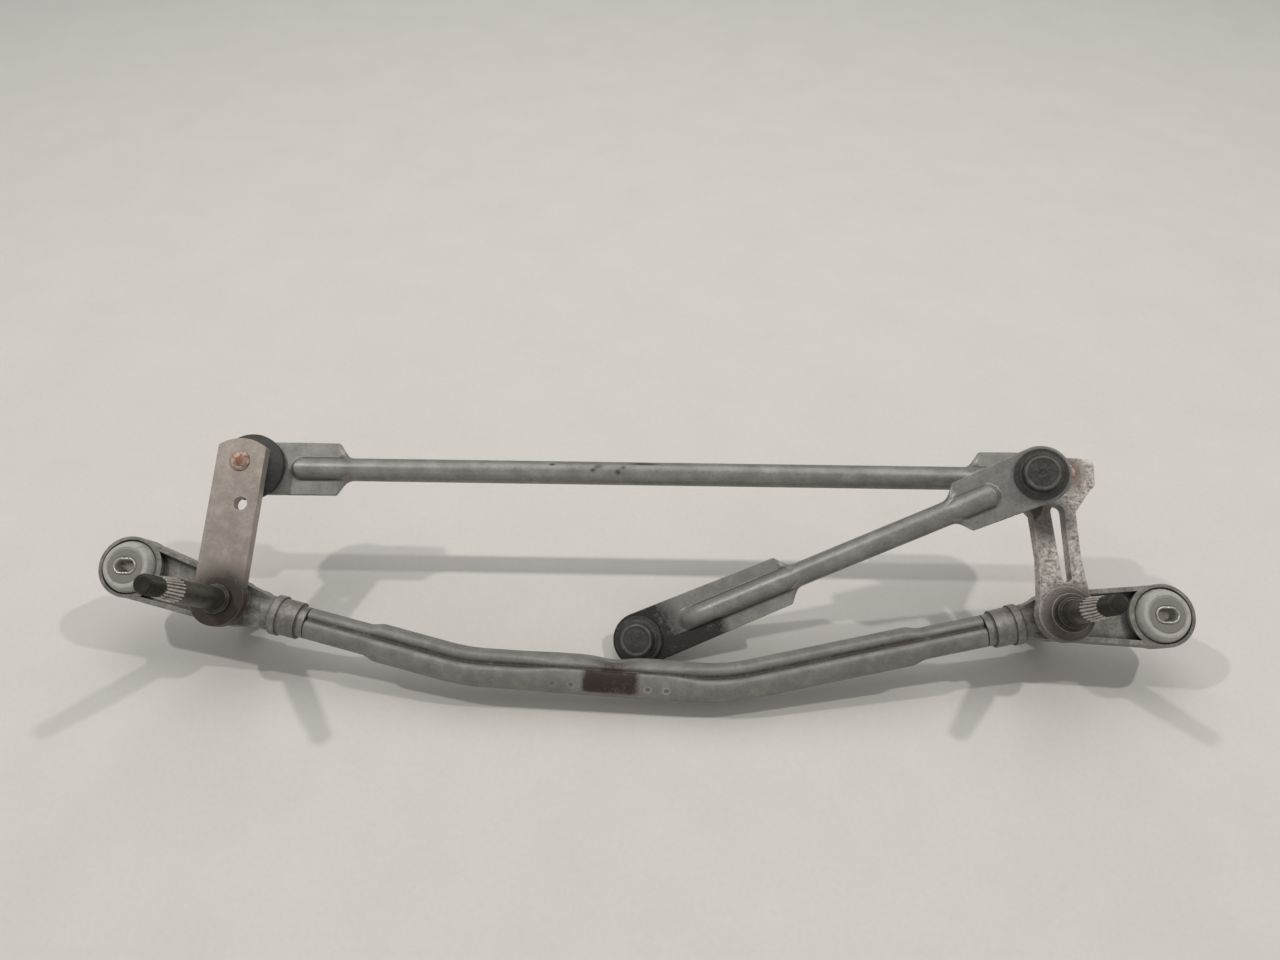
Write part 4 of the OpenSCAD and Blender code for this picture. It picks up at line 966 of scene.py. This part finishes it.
# %% Grommets and sleeves
WAIST_R, LIP_R, DISC_R, HOLE_RIM, WEB_HALF, FACE_RISE = 10.5, 14.5, 9.6, 7.6, 2.55, 1.5
SLEEVE_RISE, SLEEVE_LIP = 0.8, 0.35
LEFT_EYE = np.array([-SPAN / 2 - 56, 17.8])
RIGHT_EYE = np.array([SPAN / 2 + 56, 1.0])


def grommet_rows():
    """Button profile (r, z, k) mirrored about the web, closed through the oblong hole, where k is 1."""
    top = GROMMET_TOP
    half = rounded([
        (WAIST_R, 0), (WAIST_R, WEB_HALF), (LIP_R, WEB_HALF), (LIP_R, 7.4), (12.9, top - 1.4),
        (12.1, top - 0.2), (10.4, top), (9.9, top - 0.5), (9.4, top - 0.1), (HOLE_RIM, top)], 0.6)
    half = np.column_stack([half, np.zeros(len(half))])
    hole = np.array([(HOLE_RIM, top, 0.6), (HOLE_RIM, top, 1.0), (HOLE_RIM, 0.5, 1.0)])
    upper = np.concatenate([half, hole])
    return np.concatenate([upper[::-1] * np.array([1, -1, 1]), upper[1:]])


def grommet_part(centre, count=120):
    """Ring (1 - k) r + k oblong(a) of each row, with the outer ring and the inner disc marked."""
    a = circle(count)
    r, z, k = grommet_rows().T[:, :, None]
    ring = (1 - k) * r + k * oblong(a, SLOT_WALL)
    on_top, outer = np.abs(z) > ARM_H / 2 + FACE_RISE, ring > DISC_R
    return part(polar(ring, a, z, centre), True, ring=on_top & outer, disc=on_top & ~outer)


def sleeve_part(centre, count=120):
    """Thin oblong tube: outer outline up, rounded lip, inner outline down."""
    a = circle(count)
    end = GROMMET_TOP + SLEEVE_RISE
    wall, z = np.array([
        (1, 0.3 - end), (1, end - SLEEVE_LIP), (0.75, end - 0.05), (0.5, end), (0.25, end - 0.05),
        (0, end - SLEEVE_LIP), (0, 0.3 - end), (0.5, -end)]).T[:, :, None]
    return part(polar(oblong(a, SLOT_WALL * wall), a, z, centre), True)


for name, eye in (("left", LEFT_EYE), ("right", RIGHT_EYE)):
    skin(name + "_grommet_moulded", [grommet_part(eye)], LINK, "grey_rubber", "frame", [name + "_grommet"])
    skin(name + "_grommet_sleeve_drawn", [sleeve_part(eye)],
         LINK, "sleeve_metal", "frame", [name + "_grommet_sleeve"])

# %% [markdown]
# ## Table and light
# A pale matt table. Two small lamps overhead, far to the left and right, cast the pairs of shadows. A
# wide lamp behind softens them, and a weak one in front lights the face of the tube. One wide lamp
# alone would be softer still, but the shadows would lose their edges.

# %% Table and lamps
TABLE_HALF, ROOM_GREY, ROOM_LIGHT = 4, "#f4f4f4", 0.4


def area(name, at, to, size, power, tint):
    """Square lamp at a point, turned to face another."""
    lamp = bpy.data.lights.new(name, "AREA")
    lamp.shape = "SQUARE"
    lamp.size = size
    lamp.energy = power
    lamp.color = linear(tint)[:3]
    obj = bpy.data.objects.new(name, lamp)
    bpy.context.scene.collection.objects.link(obj)
    z = unit(np.array(at) - np.array(to))
    x = unit(np.cross((0, 1, 0.01), z))
    turn = np.eye(4)
    turn[:3, :3] = np.array([x, np.cross(z, x), z]).T
    turn[:3, 3] = at
    obj.matrix_world = Matrix(turn.tolist())


floor_mesh = bpy.data.meshes.new("table")
corners = TABLE_HALF * np.array([(-1, -1, 0), (1, -1, 0), (1, 1, 0), (-1, 1, 0)])
floor_mesh.from_pydata(corners.tolist(), [], [(0, 1, 2, 3)])
floor = bpy.data.objects.new("table", floor_mesh)
bpy.context.scene.collection.objects.link(floor)
# Matt paint: pale, with no gloss and hardly any pattern.
dress(floor, worn("matt painted table", ("#d0ccc6", "#d3cfc9", "#d6d2cc"), patch_mm=60, grain_mm=3,
                  metallic=0.0, rough=(0.8, 0.9), bump_mm=0.01))
area("left key", at=(-0.95, 0.06, 1.6), to=(0, 0, 0), size=0.06, power=7.4, tint="#fffdf8")
area("right key", at=(0.98, 0.06, 1.6), to=(0, 0, 0), size=0.06, power=7.8, tint="#fffdf8")
area("softbox", at=(0.0, 0.75, 1.6), to=(0, 0.1, 0), size=1.3, power=8.6, tint="#ffffff")
area("front", at=(-0.4, -1.5, 0.9), to=(0, 0, 0.03), size=1.0, power=1.8, tint="#ffffff")
world = bpy.data.worlds.new("room")
bpy.context.scene.world = world
world.use_nodes = True
world.node_tree.nodes["Background"].inputs["Color"].default_value = linear(ROOM_GREY)
world.node_tree.nodes["Background"].inputs["Strength"].default_value = ROOM_LIGHT
print("table of", 2 * TABLE_HALF, "m and", len(bpy.data.lights), "lamps")

# %% [markdown]
# ## Camera
# The camera looks down at the table at about 45 degrees, a little right of the middle. It could be
# set by eye, but the known sizes of the linkage fix it: its place and its two directions were solved
# from the outline of the tube, the eyes and the rods.

# %% Camera
CAMERA_AT = (0.01281, -0.33526, 0.45855)
CAMERA_RIGHT = np.array([0.99961, 0.02722, -0.00658])
CAMERA_FORWARD = unit([-0.02399, 0.71081, -0.70297])

camera = bpy.data.cameras.new("camera")
camera.lens = 27
camera.sensor_width = 36
camera.clip_start = 0.01
viewpoint = bpy.data.objects.new("camera", camera)
bpy.context.scene.collection.objects.link(viewpoint)
turn = np.eye(4)
turn[:3, 0] = unit(CAMERA_RIGHT - CAMERA_FORWARD * (CAMERA_RIGHT @ CAMERA_FORWARD))
turn[:3, 2] = -CAMERA_FORWARD
turn[:3, 1] = np.cross(turn[:3, 2], turn[:3, 0])
turn[:3, 3] = CAMERA_AT
viewpoint.matrix_world = Matrix(turn.tolist())
bpy.context.scene.camera = viewpoint
bpy.context.scene.view_settings.view_transform = "Standard"
print("camera at", turn[:3, 3].tolist())

# %% [markdown]
# ## End

# %% End
print("scene done")
